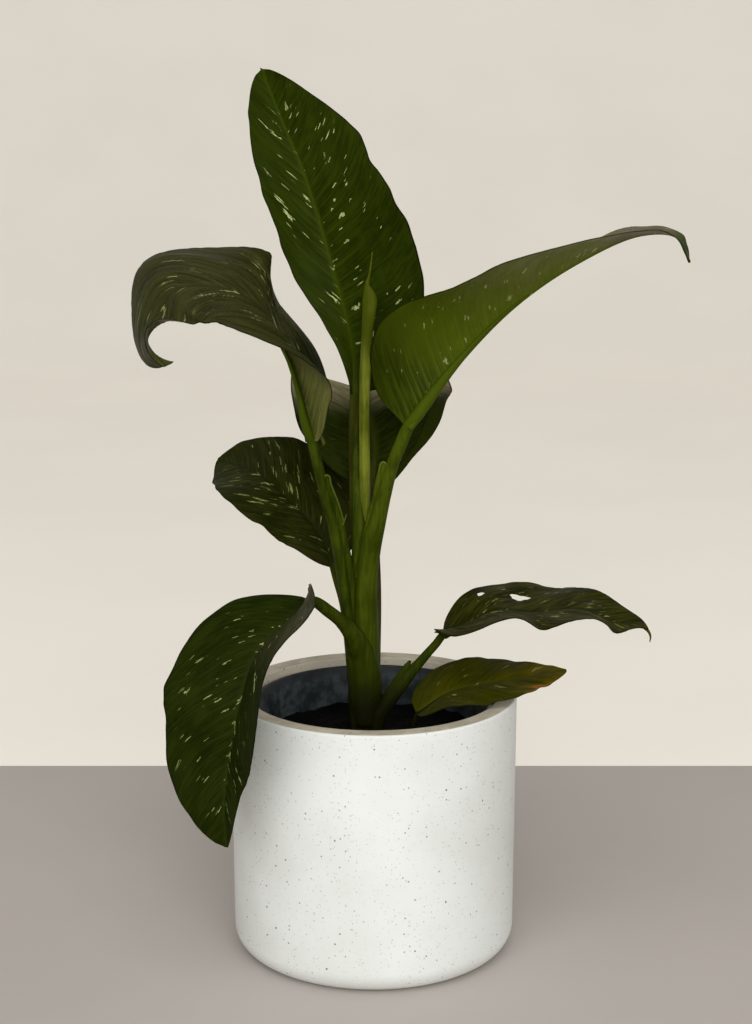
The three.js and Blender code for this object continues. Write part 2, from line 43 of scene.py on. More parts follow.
# Pots and soil, as in the part's source
POT_RADIUS = 100
POT_FOOT_RADIUS = 99
POT_HEIGHT = 184
POT_WALL = 13
POT_FLOOR = 12
POT_FOOT_ROUND = 16
POT_INNER_ROUND = 8
POT_RIM_ROUND = 1.6
POT_CENTRE = 40
NURSERY_LIP_DROP = 5
NURSERY_RADIUS = 84
NURSERY_FOOT_RADIUS = 66
NURSERY_WALL = 1.8
NURSERY_FLOOR = 2.5
NURSERY_LIP = 2.2
NURSERY_LIP_HEIGHT = 10
NURSERY_LIP_ROUND = 1.4
SOIL_TOP = POT_HEIGHT - 32
GAP = 0.3

# Blades: thickness from rib to edge; from base to tip the rib, its green and the least half width
BLADE_THICK = (1.1, 0.6)
RIB_HALF_WIDTH = (2.4, 0.5)
RIB_HEIGHT = (1.8, 0.3)
RIB_GREEN = (3.2, 0.8)
RIB_SWELL = 0.6
LEAST_HALF_WIDTH = (3, 1.2)
BLADE_SMOOTHING = 0.08
WAVE_POWER = 2.5
WAVE_SHIFT = 0.37
BLADE_STEP = 1.6
BLADE_STATIONS = 30
EDGE_ROUND = 0.4

# Side veins: distance, half width, bend near the edge and slant of their marks; the rib's trough
VEIN_SPACING = 8.2
VEIN_HALF_WIDTH = 1.3
VEIN_CURVE = 0.15
VEIN_SLANT = 1.25
TROUGH_DEPTH = 0.7
TROUGH_HALF_WIDTH = 2

# Waves [size, pitch, start, later start on the right half]
OUTLINE_WAVES = [[0.35, 41, 0, 2], [0.25, 67, 1, 1]]
FRILL_WAVES = [[0.5, 33, 0, 2.4]]
VEIN_WAVES = [[1.6, 0.23, 0, 2], [0.9, 0.51, 0, 4]]
SOFT_WAVES = [[0.5, 0.13, 0, 2.1]]
HOLE_WAVES = [[0.16, 3, 1, 0], [0.08, 7, 0, 0]]

# Stalks: flutes round them, and the start, growth and step of a rolled leaf's spiral
FLUTES = 9
ROLL_START = 1.2
ROLL_GROWTH = 1.5
ROLL_STEP = 0.24

# Lengths in the stalks' maps: on free edges, on the rolled leaf and where no blade starts
FREE_EDGE = -20
PALE_SPEAR = 165
FAR = 1000

# Maps hold millimetres divided by this
MAP_UNIT = 100

# Soil: points round and across, and heights of its waves and crumbs
SOIL_SIDES = 150
SOIL_RINGS = 46
SOIL_SWELL = 1.1
SOIL_CRUMB = 0.16

# Floor, backdrop and camera, in metres, degrees and pixels
FLOOR_EDGE = 0.372
STAGE_FRONT = -6
SWEEP_FLAT = 2.8
SWEEP_ROUND = 1.6
STAGE_HALF_WIDTH = 9
STAGE_HEIGHT = 6
CAMERA_PLACE = (0.0016, -1.344, 0.595)
CAMERA_PITCH = 11.89
FOCAL_PIXELS = 2000
PHOTO_HEIGHT = 1024
SENSOR_HEIGHT = 36

# Leaves as in the part's source: stalk points [x, y, z, half width, half depth] and its groove,
# rib points after the stalk, upper-face directions, turn, halves, fold, curl and wave. Bulges
# and dents of the edge are [half, part of length, width, spread], and ends are a blade's own
# least half widths. The stalk runs on under the rib for the part under_rib of its length, where
# rib_size and rib_taper make it thin and rib_offset shifts it. Sheaths, their curls and dry
# margins of blades are lines of such points too.
LEAVES = {}
LEAVES["top"] = dict(  # upright
    stalk=[[-8, 6, 246, 5, 4.5], [-11.6, 9, 300, 4.6, 4], [-13, 12, 350, 4.4, 3.6],
           [-12.8, 14, 392, 3.8, 3.2]],
    groove=0.3, under_rib=0.3,
    rib=[[-16, 17, 430], [-30, 25, 486], [-46, 27, 539], [-60, 32, 572], [-75, 32, 609]],
    faces=[[0, -0.45, -0.9, 0], [0.5, -0.4, -0.9, 0.1], [1, -0.3, -0.9, 0.3]],
    turn=[[0, 46], [0.5, -4], [1, -14]], halves=[[33, 0.6, 0.86, 0.58], [63, 0.44, 0.52, 0.68]],
    fold=[[0, 31, 17], [0.5, 24, 11], [1, 10, 9]], curl=[[0, 10, 10], [0.5, 15, 14], [1, 0, 0]],
    wave=[2.5, 2, 0.4],
    bulges=[[1, 0.705, 2, 0.024], [1, 0.64, -2.8, 0.024], [1, 0.56, 1.2, 0.03], [0, 0.9, 1, 0.02]],
    margins=[[[-71, 31.5, 606, 1.5, 0.6], [-74.4, 31.4, 608.4, 1, 0.5], [-76.2, 31.2, 610, 0.3, 0.3]]],
)

LEAVES["right"] = dict(  # young, folded along its rib
    stalk=[[-5, -4, 150, 9.2, 8.5], [-5.2, -6, 185, 9, 7.5], [-5.2, -7, 226, 8.4, 5.6],
           [-4.9, -9, 267, 7.9, 5.6], [-2.4, -11, 287, 7.7, 5.4], [2, -13.5, 307, 6.6, 5.2],
           [7, -16, 328, 5.2, 5], [12.7, -19, 349, 4.4, 4.4], [18, -21.6, 363, 4.5, 4.2],
           [23, -24, 375, 4.2, 4]],
    groove=0.5, under_rib=0.56,
    rib=[[52, -27, 415], [89, -40, 456], [130, -63, 488], [169, -71, 506], [191, -77, 505],
         [198, -86, 490]],
    faces=[[0, -0.4, 0.75, 0.5], [0.4, -0.35, 0.6, 0.7], [0.75, -0.2, -0.1, 1], [0.9, 0.4, -0.1, 0.9],
           [1, 0.9, 0, 0.3]],
    turn=[[0, -20], [0.35, 17], [0.7, -1], [1, 16]],
    halves=[[54, 0.4, 0.45, 0.9], [61, 0.37, 0.38, 0.88]],
    fold=[[0, 62, 58], [0.5, 30, 27], [0.8, 8, 29], [1, 8, 7]],
    curl=[[0, 10, 8], [0.5, 20, 22], [1, 10, 10]], wave=[3, 1.5, 1.2],
    sheaths=[[[-11, -11, 268, 2.6, 2.4], [-7, -12.5, 290, 2.5, 1.9], [-3.3, -14.5, 308, 2.4, 1.5],
              [-0.4, -16, 318, 2.2, 1.2], [2.6, -17.6, 332, 2.3, 1], [4, -18.5, 339, 2.4, 0.9],
              [5.5, -19, 344, 2.6, 0.8], [6.4, -19.2, 348.5, 2.2, 0.8], [6.6, -19, 350.6, 1, 0.6]]],
    curls=[[[3.4, -18, 341, 0.6, 0.6], [4, -19.2, 346, 0.7, 0.7], [5, -19.8, 349.6, 0.8, 0.8],
            [6.8, -20.2, 350.6, 0.8, 0.8], [8.4, -20.2, 349, 0.7, 0.7], [8.8, -20, 346.8, 0.4, 0.4]]],
    ends=(3, 0.35),
    bulges=[[1, 0.84, -3, 0.018], [1, 0.9, 3, 0.02], [1, 0.948, -2.5, 0.016], [0, 0.83, -2, 0.018],
            [0, 0.87, 3, 0.02], [0, 0.945, -2.5, 0.016]],
    rib_offset=[0.2, -2.8, 0], rib_size=1.1, rib_taper=0.8,
)

LEAVES["left"] = dict(  # arches over, its tip hooks back
    stalk=[[-12.5, -2, 160, 6, 5], [-13, -4, 200, 7, 5.2], [-15.5, -6, 226, 7.4, 5],
           [-20.2, -9, 267, 6.9, 5], [-23.4, -11, 289, 6.6, 5], [-26.8, -13, 307, 5.8, 4.8],
           [-31, -16, 323, 4.8, 4.5], [-36, -20, 343, 4.4, 4.1], [-38.6, -22, 355, 4.5, 4],
           [-41, -24, 366, 4.8, 3.8]],
    groove=0.4, under_rib=0.36,
    rib=[[-48, -33, 402], [-57, -52, 430], [-74, -69, 461], [-96, -70, 472], [-126, -76, 471],
         [-135, -78, 454], [-143, -88, 441], [-131, -99, 426]],
    faces=[[0, 0.95, -0.2, 0.2], [0.3, 0.7, -0.45, 0.5], [0.55, 0.25, -0.6, 0.75], [0.75, -0.4, -0.5, 0.75],
           [0.9, -0.9, -0.2, 0.2], [1, -0.75, -0.1, -0.65]],
    turn=[[0, 9], [0.2, 12], [0.4, 31], [0.6, 21], [0.8, -11], [1, 32]],
    halves=[[50, 0.55, 0.51, 0.9], [61, 0.55, 0.48, 0.58]],
    fold=[[0, 42, 45], [0.25, 37, 18], [0.5, -1, 18], [0.75, 13, 2], [1, 5, 1]],
    curl=[[0, 10, 10], [0.25, 9, 15], [0.5, 12, 8], [0.75, 19, 23], [1, 12, 13]], wave=[2, 2, 0],
    bulges=[[1, 0.475, 11, 0.072], [0, 0.775, -1.6, 0.028], [1, 0.955, -6, 0.025]],
    sheaths=[[[-12, -4, 200, 4.6, 4], [-15, -6, 235, 5.6, 3.4], [-17.2, -8.6, 268, 4.8, 2.6],
              [-20.4, -11, 289, 4, 2.2], [-23.4, -14, 308, 3.4, 1.6], [-27, -17, 323, 3, 1.2],
              [-31, -19.6, 335, 2.3, 1], [-32, -20.4, 339.6, 1.6, 0.9], [-32.6, -20.8, 341.2, 0.7, 0.7]]],
    curls=[[[-20.2, -15.4, 308.5, 0.5, 0.5], [-24.2, -18, 322.8, 0.6, 0.6], [-28.6, -20, 335, 0.6, 0.6],
            [-30, -20.8, 341, 0.7, 0.7], [-32, -21.4, 341.8, 0.8, 0.8], [-33.8, -21.6, 340.4, 0.7, 0.7],
            [-34.2, -21.4, 338.6, 0.4, 0.4]],
           [[-21, -15, 306, 0.7, 0.7], [-19.6, -15, 310, 0.5, 0.5], [-18.4, -15, 313.6, 0.3, 0.3]]],
    rib_offset=[-1.6, -8.2, 0.4], rib_size=1.15, rib_taper=0.45,
    margins=[[[-38, -27, 382, 0.9, 0.9], [-37.6, -27.5, 376, 1.1, 1.1], [-36.4, -27.5, 371, 1.2, 1.1],
              [-34.4, -27, 367.6, 1.3, 1.2], [-33.4, -26.5, 364.6, 1.2, 1.1],
              [-33.6, -26, 362.8, 0.6, 0.6]]],
)

LEAVES["back"] = dict(  # falls over backwards
    stalk=[[-2.4, 4, 165, 6, 4], [-0.8, 7, 212, 5.6, 4], [0, 12, 252, 5.2, 4.2], [-1, 18, 290, 4.6, 4],
           [-3, 24, 326, 4, 3.6]],
    groove=0.3, under_rib=0.3,
    rib=[[1, 38, 348], [-3, 58, 371], [-4, 86, 383], [-1, 108, 366], [-4, 130, 334], [-9, 146, 298],
         [-17, 156, 256]],
    faces=[[0, 0, -0.95, 0.3], [0.36, 0, -0.55, 0.85], [0.58, 0, 0.3, 0.95], [1, 0, 0.95, 0.25]],
    turn=[[0, -4], [0.5, 1], [1, 6]], halves=[[56.5, 0.38, 0.56, 1.1], [59, 0.43, 1.15, 1.8]],
    fold=[[0, 8, 12], [0.4, 16, 18], [1, 8, 7]], curl=[[0, 8, 8], [0.5, 8, 7], [1, 10, 10]],
    wave=[2, 2, 0.8], bulges=[[1, 0.6, 3, 0.06]],
)

LEAVES["mid_left"] = dict(  # flat, well flecked
    stalk=[[-14, 6, 190, 4.6, 3.8], [-16, 7, 214, 4.4, 3.6], [-20, 11, 244, 4, 3.6],
           [-25, 17, 260, 3.6, 3.4], [-28, 21, 269, 3.2, 3]],
    groove=0.2, under_rib=0.3, rib=[[-39, 43, 288], [-54, 51, 303], [-80, 62, 325], [-114, 96, 331]],
    faces=[[0, 0.1, -0.8, 0.6], [0.5, 0, -0.75, 0.65], [1, -0.1, -0.7, 0.7]],
    turn=[[0, -12], [0.5, 24], [1, -8]], halves=[[39, 0.52, 0.58, 0.75], [58, 0.5, 0.49, 0.84]],
    fold=[[0, 28, 30], [0.5, 7, 3], [1, 8, 9]], curl=[[0, 5, 5], [0.5, 12, 12], [1, 0, 0]],
    wave=[2.5, 2, 0.3], bulges=[[0, 0.88, 1.6, 0.025], [0, 0.8, -1.2, 0.03], [1, 0.93, 1.4, 0.02]],
)

LEAVES["drooping"] = dict(  # hangs outside the pot
    stalk=[[-5.6, -3, 162, 10.6, 12.6], [-5.7, -3, 176, 11.3, 13.2], [-5.9, -3.4, 192, 11.1, 12.8],
           [-6.8, -5.6, 204, 10.4, 11], [-8.4, -10, 214, 9, 8], [-11.4, -14.6, 223, 7.8, 5.6],
           [-15.4, -18.4, 231.4, 6.8, 4.8], [-21.5, -23, 240, 5.8, 4.5], [-30, -31.5, 249.6, 4.9, 4.2],
           [-41, -40, 259, 3.8, 3.5]],
    groove=0.04, under_rib=0.3,
    rib=[[-64, -62, 245], [-78, -75, 230], [-87, -89, 204], [-92, -91, 181], [-96, -88, 157],
         [-98, -96, 130], [-97, -96, 106]],
    faces=[[0, -0.3, -0.6, 0.9], [0.3, -0.6, -0.8, 0.3], [0.6, -0.5, -0.9, 0.1], [1, -0.5, -0.9, 0]],
    turn=[[0, 11], [1, 10]], halves=[[48, 0.39, 0.52, 1.01], [55, 0.45, 0.72, 0.54]],
    fold=[[0, 77, 24], [0.12, 35, 27], [0.5, 36, 26], [1, 14, 13]],
    curl=[[0, 12, 13], [0.5, 11, 11], [1, 0, 0]], wave=[3, 0.8, 0.6],
    bulges=[[1, 0.5, 1.5, 0.03], [1, 0.62, -1, 0.04], [1, 0.9, -1.4, 0.03], [0, 0.685, -3, 0.05]],
    margins=[[[-41, -43, 262, 1.2, 1], [-42.4, -44, 266, 1.3, 1.1], [-43, -44.5, 269, 1, 0.9],
              [-42.4, -45, 271, 0.8, 0.7], [-43.4, -45, 272, 0.4, 0.4]]],
)

LEAVES["low_right"] = dict(  # waved, with two holes
    stalk=[[-1.5, -7, 138, 6.6, 6], [2.8, -7.6, 168, 6.4, 6.2], [8.4, -7.6, 177.4, 5.8, 6],
           [15, -7.6, 186.6, 5, 5.6], [21.5, -7.5, 195, 4.2, 5], [27, -7.4, 201.6, 3.4, 4.2],
           [31.4, -7.4, 206.6, 3, 3.6], [37, -7.5, 213.4, 2.8, 3.2], [43, -7.7, 220.4, 2.8, 3],
           [48, -8, 227, 3, 2.8]],
    groove=0.15, under_rib=0.35,
    rib=[[67, -14, 239], [85, -14, 246], [108, -12, 244], [142, -12, 246], [167, -8, 236], [184, -10, 234],
         [189, -12, 232]],
    faces=[[0, -0.4, -0.1, 0.9], [0.5, 0, -0.05, 1], [1, 0.6, -0.1, 0.8]], turn=[[0, 4], [1, 7]],
    halves=[[49, 0.5, 0.52, 0.86], [41, 0.41, 0.5, 0.89]],
    fold=[[0, 19, 51], [0.12, 16, 17], [0.5, 3, 15], [1, 14, 10]],
    curl=[[0, 3, 4], [0.5, 11, 7], [1, 8, 9]], wave=[2.6, 4, 0.1],
    holes=[[0.23, 0.68, 3.4, 3.6], [0.405, 0.5, 7, 5.2]],
    sheaths=[[[6, -8, 176, 3.4, 2.6], [12, -9, 187, 3.2, 2], [16.8, -9.4, 195, 2.8, 1.6],
              [20.4, -9.4, 201, 2.4, 1.4], [23.6, -9, 205.6, 1.9, 1.1], [25.4, -8.6, 208.4, 0.9, 0.7]]],
    margins=[[[186, -11, 233.6, 1.3, 0.7], [189.4, -12, 230.4, 1, 0.6], [190.8, -12.5, 227, 0.7, 0.5],
              [190.4, -13, 223, 0.3, 0.3]],
             [[46, -9, 228.4, 0.8, 0.7], [43.6, -9.4, 229.4, 0.8, 0.6], [42, -9.6, 229, 0.4, 0.4]]],
)

LEAVES["yellowing"] = dict(  # small, above the rim
    stalk=[[23, -20, 148, 1.7, 1.6], [27, -21, 164, 1.5, 1.4], [30, -22, 174, 1.5, 1.4]], groove=0.2,
    under_rib=0.4, rib=[[50, -20, 188], [79, -20, 196], [103, -18, 199], [133, -14, 203]],
    faces=[[0, -0.3, -0.5, 0.85], [0.5, -0.1, -0.5, 0.9], [1, 0, -0.4, 0.9]], turn=[[0, -10], [1, -8]],
    halves=[[29, 0.39, 0.58, 0.8], [25, 0.47, 0.53, 0.77]], fold=[[0, 16, 19], [0.5, 8, 9], [1, 2, 4]],
    curl=[[0, 5, 5], [0.5, 11, 10], [1, 7, 7]], wave=[2, 1, 0.5],
    bulges=[[1, 0.8, -1.6, 0.02], [1, 0.86, 0.8, 0.02], [0, 0.93, 0.9, 0.02]],
)

# Main stem, rolled new leaf, the sheath round its foot and an old sheath at the soil
STEM = [[-6, 1, 108, 7, 7], [-6, 1, 120, 10.5, 10], [-6.5, 1, 170, 11.2, 10.3], [-6.5, 1, 215, 10.8, 9.8],
        [-7, 1, 244, 9.5, 8], [-7, 1, 262, 7, 6]]
NEW_LEAF = [[-6, -3, 264, 4, 3.6], [-6, -4, 300, 4, 3.8], [-5.8, -6, 340, 3.7, 3.8],
            [-6.1, -6.4, 365, 3.5, 3.7], [-6.1, -7, 391, 3.4, 3.5], [-5.2, -7.6, 413, 3.8, 3.4],
            [-4.1, -7.8, 436, 3.8, 3.2], [-2.6, -8, 452, 4.5, 2.8], [-2.3, -8, 459, 4.7, 2.4],
            [-3.3, -8, 464, 3.3, 1.9], [-4.3, -8, 469, 1.5, 1.2], [-3, -8, 474, 0.8, 0.7],
            [-1.8, -8, 482, 0.6, 0.5], [-0.8, -8, 490.4, 0.35, 0.35]]
SPEAR_SHEATH = [[-9.5, -5, 262, 6, 6], [-9.6, -5, 285, 5.6, 6.4], [-9.7, -4, 304, 5.2, 6.4],
                [-10.6, -2, 325, 4.2, 5.6], [-11.6, 3, 342, 3, 4], [-12, 8, 360, 1.6, 2.4],
                [-12, 11, 374, 0.4, 0.6]]
OLD_SHEATH = [[-10.5, -9.5, 150, 6, 3], [-11, -10, 161, 5.5, 2.8], [-12.4, -10, 166, 4.2, 2.4],
              [-14.3, -9.5, 171, 2.2, 1.8], [-16, -8.6, 175.5, 0.7, 0.7]]

# Looks of the blades, with colours as 0 to 255: dark, light, vein and rib green, fleck colour,
# amount and length, relief of the veins in millimetres, shine, and how far the side veins lean
# to the tip, at the base and tip of each half. The coats painted over parts of a blade are painted
# highlights, painted sheen, painted shade and tints, each [shade, parts of the length where it
# rises and where it falls, half], with half 0 for both. Bright_rib and under show from below
LOOKS = {
    "top": dict(
        dark=(30, 40, 0), light=(42, 53, 1), vein=(52, 66, 5), rib=(54, 68, 4),
        fleck=(190, 200, 134), amount=0.66, long=13, relief=0.45, shine=0.03,
        lean=[[1.1, 1.9], [0.1, 0.7]]),
    "right": dict(
        # Its light greens are partly the young leaf's own and partly painted light, for light shining
        # through the blade
        dark=(44, 55, 1), light=(62, 74, 3), vein=(84, 98, 24), rib=(70, 84, 8),
        fleck=(172, 178, 118), amount=0.5, long=9, relief=0.3, shine=0.05,
        lean=[[0.5, 0.9], [0.5, 0.9]],
        # Coats here: darker towards the base, a painted sheen on the upper blade, a brown-grey painted
        # sheen on the crumpled ridge, and painted shade at the tip
        painted_light_and_tints=[[(32, 40, 0), -1, -0.5, 0.08, 0.28, 0], [(102, 106, 40), 0.25, 0.7, 0.8, 0.9, 0],
                [(98, 84, 70), 0.72, 0.8, 0.89, 0.93, 0], [(24, 34, 0), 0.9, 0.95, 1.1, 1.2, 0]]),
    "left": dict(
        dark=(34, 36, 9), light=(59, 59, 25), vein=(62, 62, 30), rib=(40, 43, 14),
        fleck=(150, 152, 94), amount=0.5, long=11, relief=1, shine=0.06,
        lean=[[1.7, 2.1], [1.2, 1.7]], bright_rib=(66, 82, 6), under=(86, 90, 38),
        # Painted shade on the right half near the base, and painted light on the paler lobe of the left
        # half
        painted_light_and_tints=[[(4, 16, 0), -1, -0.5, 0.2, 0.27, 1], [(116, 120, 60), -1, -0.5, 0.2, 0.34, -1]]),
    "back": dict(
        dark=(22, 30, 0), light=(36, 44, 2), vein=(50, 55, 14), rib=(52, 60, 10),
        fleck=(90, 96, 50), amount=0.1, long=9, relief=0.9, shine=0.02,
        # A painted highlight where the blade bends over backwards
        lean=[[0.3, 0.7], [0.3, 0.7]], painted_light_and_tints=[[(180, 168, 128), 0.22, 0.36, 0.4, 0.5, 0]]),
    "mid_left": dict(
        dark=(28, 33, 2), light=(47, 50, 12), vein=(52, 56, 18), rib=(32, 36, 5),
        fleck=(146, 154, 92), amount=1.25, long=15, relief=0.7, shine=0.04,
        lean=[[0.8, 1], [0.9, 1.2]]),
    "drooping": dict(
        dark=(22, 31, 0), light=(34, 43, 3), vein=(40, 49, 9), rib=(40, 48, 8),
        fleck=(158, 166, 104), amount=0.6, long=12, relief=0.5, shine=0.03,
        # A painted sheen on the left half near the base
        lean=[[0.5, 1.2], [0.5, 1.2]], painted_light_and_tints=[[(60, 58, 34), -1, -0.5, 0.22, 0.42, -1]]),
    "low_right": dict(
        dark=(25, 30, 0), light=(56, 56, 13), vein=(56, 54, 18), rib=(34, 38, 6),
        fleck=(140, 138, 84), amount=0.85, long=9, relief=0.6, shine=0.02,
        lean=[[0.8, 1.4], [0.8, 1.4]]),
    "yellowing": dict(
        dark=(44, 46, 0), light=(58, 58, 1), vein=(66, 66, 5), rib=(64, 64, 5),
        fleck=(134, 130, 66), amount=0.3, long=8, relief=0.35, shine=0.05,
        lean=[[0.8, 1.3], [0.8, 1.3]]),
}

# Flecks: width, length and amount as parts of the leaf's own, seed, and how far they wander
FLECKS = [[4.4, 1.5, 0.25, 0, 2.4], [2.4, 1, 0.46, 21, 1.4], [1.3, 0.8, 0.22, 43, 0.7]]

# Specks of the cover pot: cells to the metre, share of them, both sizes, shade, strength
SPECKS = [[150, 0.3, 0.02, 0.085, (44, 42, 38), 0.9], [260, 0.34, 0.03, 0.14, (64, 60, 52), 0.8],
          [420, 0.3, 0.06, 0.18, (130, 120, 102), 0.6], [520, 0.3, 0.1, 0.28, (196, 188, 172), 0.5]]

# Greens of the stalks: dark, light, and low at the soil
PLAIN_GREENS = [(38, 46, 1), (58, 67, 5), (40, 50, 3)]
STALK_GREENS = {
    "right": [(48, 58, 2), (68, 79, 9), (52, 62, 4)],
    "left": [(38, 48, 1), (58, 69, 5), (44, 54, 2)],
    "top": [(44, 47, 4), (66, 69, 18), (46, 52, 5)],
    "drooping": [(38, 46, 0), (58, 68, 6), (46, 56, 4)],
    "back": [(44, 44, 14), (66, 63, 34), (50, 50, 22)],
}
LEAF_SLOTS = {"right": "young_leaf", "yellowing": "yellowing_leaf"}

# Other shades, and heights in metres where stalks are darker and where painted shade makes them near black
# at the soil
DARK_GREIGE = (176, 167, 147)
PALE_GREIGE = (200, 191, 169)
# The cover pot's inner wall is painted lighter than its ground rim, as painted light against its shade
INNER_WALL_PAINTED_LIGHT = (216, 207, 186)
YELLOWED_TAN = (98, 84, 12)
BURNT_EDGE = (136, 88, 30)
DARK_MARGIN = (20, 20, 6)
# Painted shade, near black, at the foot of the stalks by the soil
FOOT_PAINTED_SHADE = (17, 15, 4)
PALE_EDGE = (108, 124, 52)
STALK_LOW = (0.168, 0.25)
STALK_FOOT = (0.18, 0.214)


# Smooth lines through keys and points

def keyed(keys, t):
    """Values at each t of a smooth line through keys [t, value, value...]."""
    keys = np.array(keys, float)
    t = np.atleast_1d(t).astype(float)
    i = np.searchsorted(keys[1:-1, 0], t, side="left")
    before = np.maximum(i - 1, 0)
    after = np.minimum(i + 2, len(keys) - 1)
    span = keys[i + 1, :1] - keys[i, :1]
    u = np.clip((t[:, None] - keys[i, :1]) / span, 0, 1)
    start = (keys[i + 1, 1:] - keys[before, 1:]) / (keys[i + 1, :1] - keys[before, :1]) * span
    end = (keys[after, 1:] - keys[i, 1:]) / (keys[after, :1] - keys[i, :1]) * span
    return (keys[i, 1:] * (1 + 2 * u) * (1 - u) ** 2 + keys[i + 1, 1:] * u * u * (3 - 2 * u)
            + start * u * (1 - u) ** 2 - end * u * u * (1 - u))


def read(where, run, places):
    """Places [x, y, z] at where, on straight lines between those at run."""
    return np.stack([np.interp(where, run, places[:, k]) for k in range(3)], axis=-1)


class Line:
    """A smooth line through points, read by part of its length."""

    def __init__(self, points, samples=1500):
        points = np.array(points, float)
        ends = np.vstack([2 * points[0] - points[1], points, 2 * points[-1] - points[-2]])
        where = np.linspace(0, len(points) - 1, samples)
        i = np.minimum(where.astype(int), len(points) - 2)
        w = (where - i)[:, None]
        p = [ends[i + k] for k in range(4)]
        d = [np.sqrt(np.linalg.norm(p[k + 1] - p[k], axis=1))[:, None] for k in range(3)]
        leave = ((p[1] - p[0]) / d[0] - (p[2] - p[0]) / (d[0] + d[1]) + (p[2] - p[1]) / d[1]) * d[1]
        reach = ((p[2] - p[1]) / d[1] - (p[3] - p[1]) / (d[1] + d[2]) + (p[3] - p[2]) / d[2]) * d[1]
        self.places = (p[1] + leave * w + (3 * (p[2] - p[1]) - 2 * leave - reach) * w ** 2
                       + (2 * (p[1] - p[2]) + leave + reach) * w ** 3)
        steps = np.linalg.norm(np.diff(self.places, axis=0), axis=1)
        self.run = np.concatenate([[0], np.cumsum(steps)])
        self.length = self.run[-1]

    def at(self, t):
        """Places at parts t of the length."""
        return read(np.clip(t, 0, 1) * self.length, self.run, self.places)


def unit(vectors):
    return vectors / np.maximum(np.linalg.norm(vectors, axis=-1, keepdims=True), 1e-9)


def smoothstep(value, low, high):
    x = np.clip((value - low) / (high - low), 0, 1)
    return x * x * (3 - 2 * x)


def between(ends, part):
    return ends[0] + (ends[1] - ends[0]) * part


def waves(sizes, value, half=0):
    """Sum of waves [size, pitch, start, later start on the right half] along a value."""
    return sum(size * np.sin(pitch * value + start + later * half)
               for size, pitch, start, later in sizes)


def directions(line, t, facing, turn, smooth):
    """Across and up directions of a line at parts t, facing a way and turned by degrees."""
    along = unit(line.at(np.minimum(t + smooth, 1)) - line.at(np.maximum(t - smooth, 0)))
    across = unit(np.cross(along, facing))
    up = unit(np.cross(across, along))
    turn = np.radians(turn)[:, None]
    turned = across * np.cos(turn) + np.cross(along, across) * np.sin(turn)
    return turned, up * np.cos(turn) + np.cross(along, up) * np.sin(turn)


# Meshes

def new_object(name, data):
    thing = bpy.data.objects.new(name, data)
    bpy.context.collection.objects.link(thing)
    return thing


def new_mesh(name, vertices, faces, material):
    """A smooth mesh with one material."""
    mesh = bpy.data.meshes.new(name)
    mesh.from_pydata(vertices, [], faces)
    mesh.polygons.foreach_set("use_smooth", [True] * len(mesh.polygons))
    mesh.materials.append(material)
    return mesh


def new_piece(name, node, slot, vertices, faces, material, maps=None, values=None):
    """A smooth piece from millimetre points that stands for one node of the model."""
    mesh = new_mesh(name, (np.asarray(vertices) * MM).tolist(), faces, material)
    corners = np.empty(len(mesh.loops), int)
    mesh.loops.foreach_get("vertex_index", corners)
    for layer, places in (maps or {}).items():
        uv = mesh.uv_layers.new(name=layer)
        uv.data.foreach_set("uv", np.asarray(places, np.float32)[corners].ravel())
    for key, numbers in (values or {}).items():
        mesh.attributes.new(key, "FLOAT", "POINT").data.foreach_set(
            "value", np.asarray(numbers, np.float32).ravel())
    mesh.validate()
    piece = new_object(name, mesh)
    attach(piece, "root")
    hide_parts(node)


def closed(rings, sides, ends):
    """Vertices and faces of closed rows of points, with a fan at each end."""
    low = len(rings)
    faces = []
    for first in range(0, low - sides, sides):
        for k in range(sides):
            a = first + k
            b = first + (k + 1) % sides
            faces.append((a, b, b + sides, a + sides))
    for k in range(sides):
        n = (k + 1) % sides
        faces.append((low, n, k))
        faces.append((low + 1, low - sides + k, low - sides + n))
    return np.vstack([rings, ends]), faces


def uv_map(u, v):
    return np.stack([u, v], axis=1) / MAP_UNIT


def joined(parts):
    """Vertices and faces of several meshes as one."""
    vertices = np.vstack([part[0] for part in parts])
    faces = []
    start = 0
    for part in parts:
        faces += [tuple(v + start for v in face) for face in part[1]]
        start += len(part[0])
    return vertices, faces


# Stalks and strands

def loft(points, facing, groove=0.0, flute=0.0, sides=36, step=2.5, roll=0.0):
    """Sections along a line of [x, y, z, half width, half depth]; a roll makes them spirals."""
    points = np.array(points, float)
    line = Line(points[:, :3])
    gaps = np.linalg.norm(np.diff(points[:, :3], axis=0), axis=1)
    runs = np.concatenate([[0], np.cumsum(gaps)]) / gaps.sum()
    rows = max(int(line.length / step), 6) + 1
    t = np.linspace(0, 1, rows)
    sizes = keyed(np.column_stack([runs, points[:, 3:5]]), t)
    across, up = directions(line, t, read(t, runs, np.array(facing, float)), np.zeros(rows), 0.01)
    angle = np.linspace(0, 2 * np.pi, sides, endpoint=False)[None]
    lobe = np.where(np.sin(angle) > 0, 1 - groove * np.sin(angle) ** 4, 1)
    lobe = lobe * (1 + flute * np.cos(FLUTES * angle))
    turn = ((angle + roll * (ROLL_START + ROLL_GROWTH * t[:, None])) / (2 * np.pi)) % 1
    size = lobe * (1 + ROLL_STEP * roll * (turn - 0.5))
    rings = (line.at(t)[:, None] + across[:, None] * (sizes[:, :1] * np.cos(angle) * size)[..., None]
             + up[:, None] * (sizes[:, 1:] * np.sin(angle) * size)[..., None]).reshape(-1, 3)
    ends = [rings[:sides].mean(axis=0), rings[-sides:].mean(axis=0)]
    vertices, faces = closed(rings, sides, ends)
    run = np.concatenate([np.repeat(t * line.length, sides), [0, line.length]])
    return vertices, [face[::-1] for face in faces], run


def front_loft(points, **settings):
    return loft(points, [FRONT] * len(points), **settings)


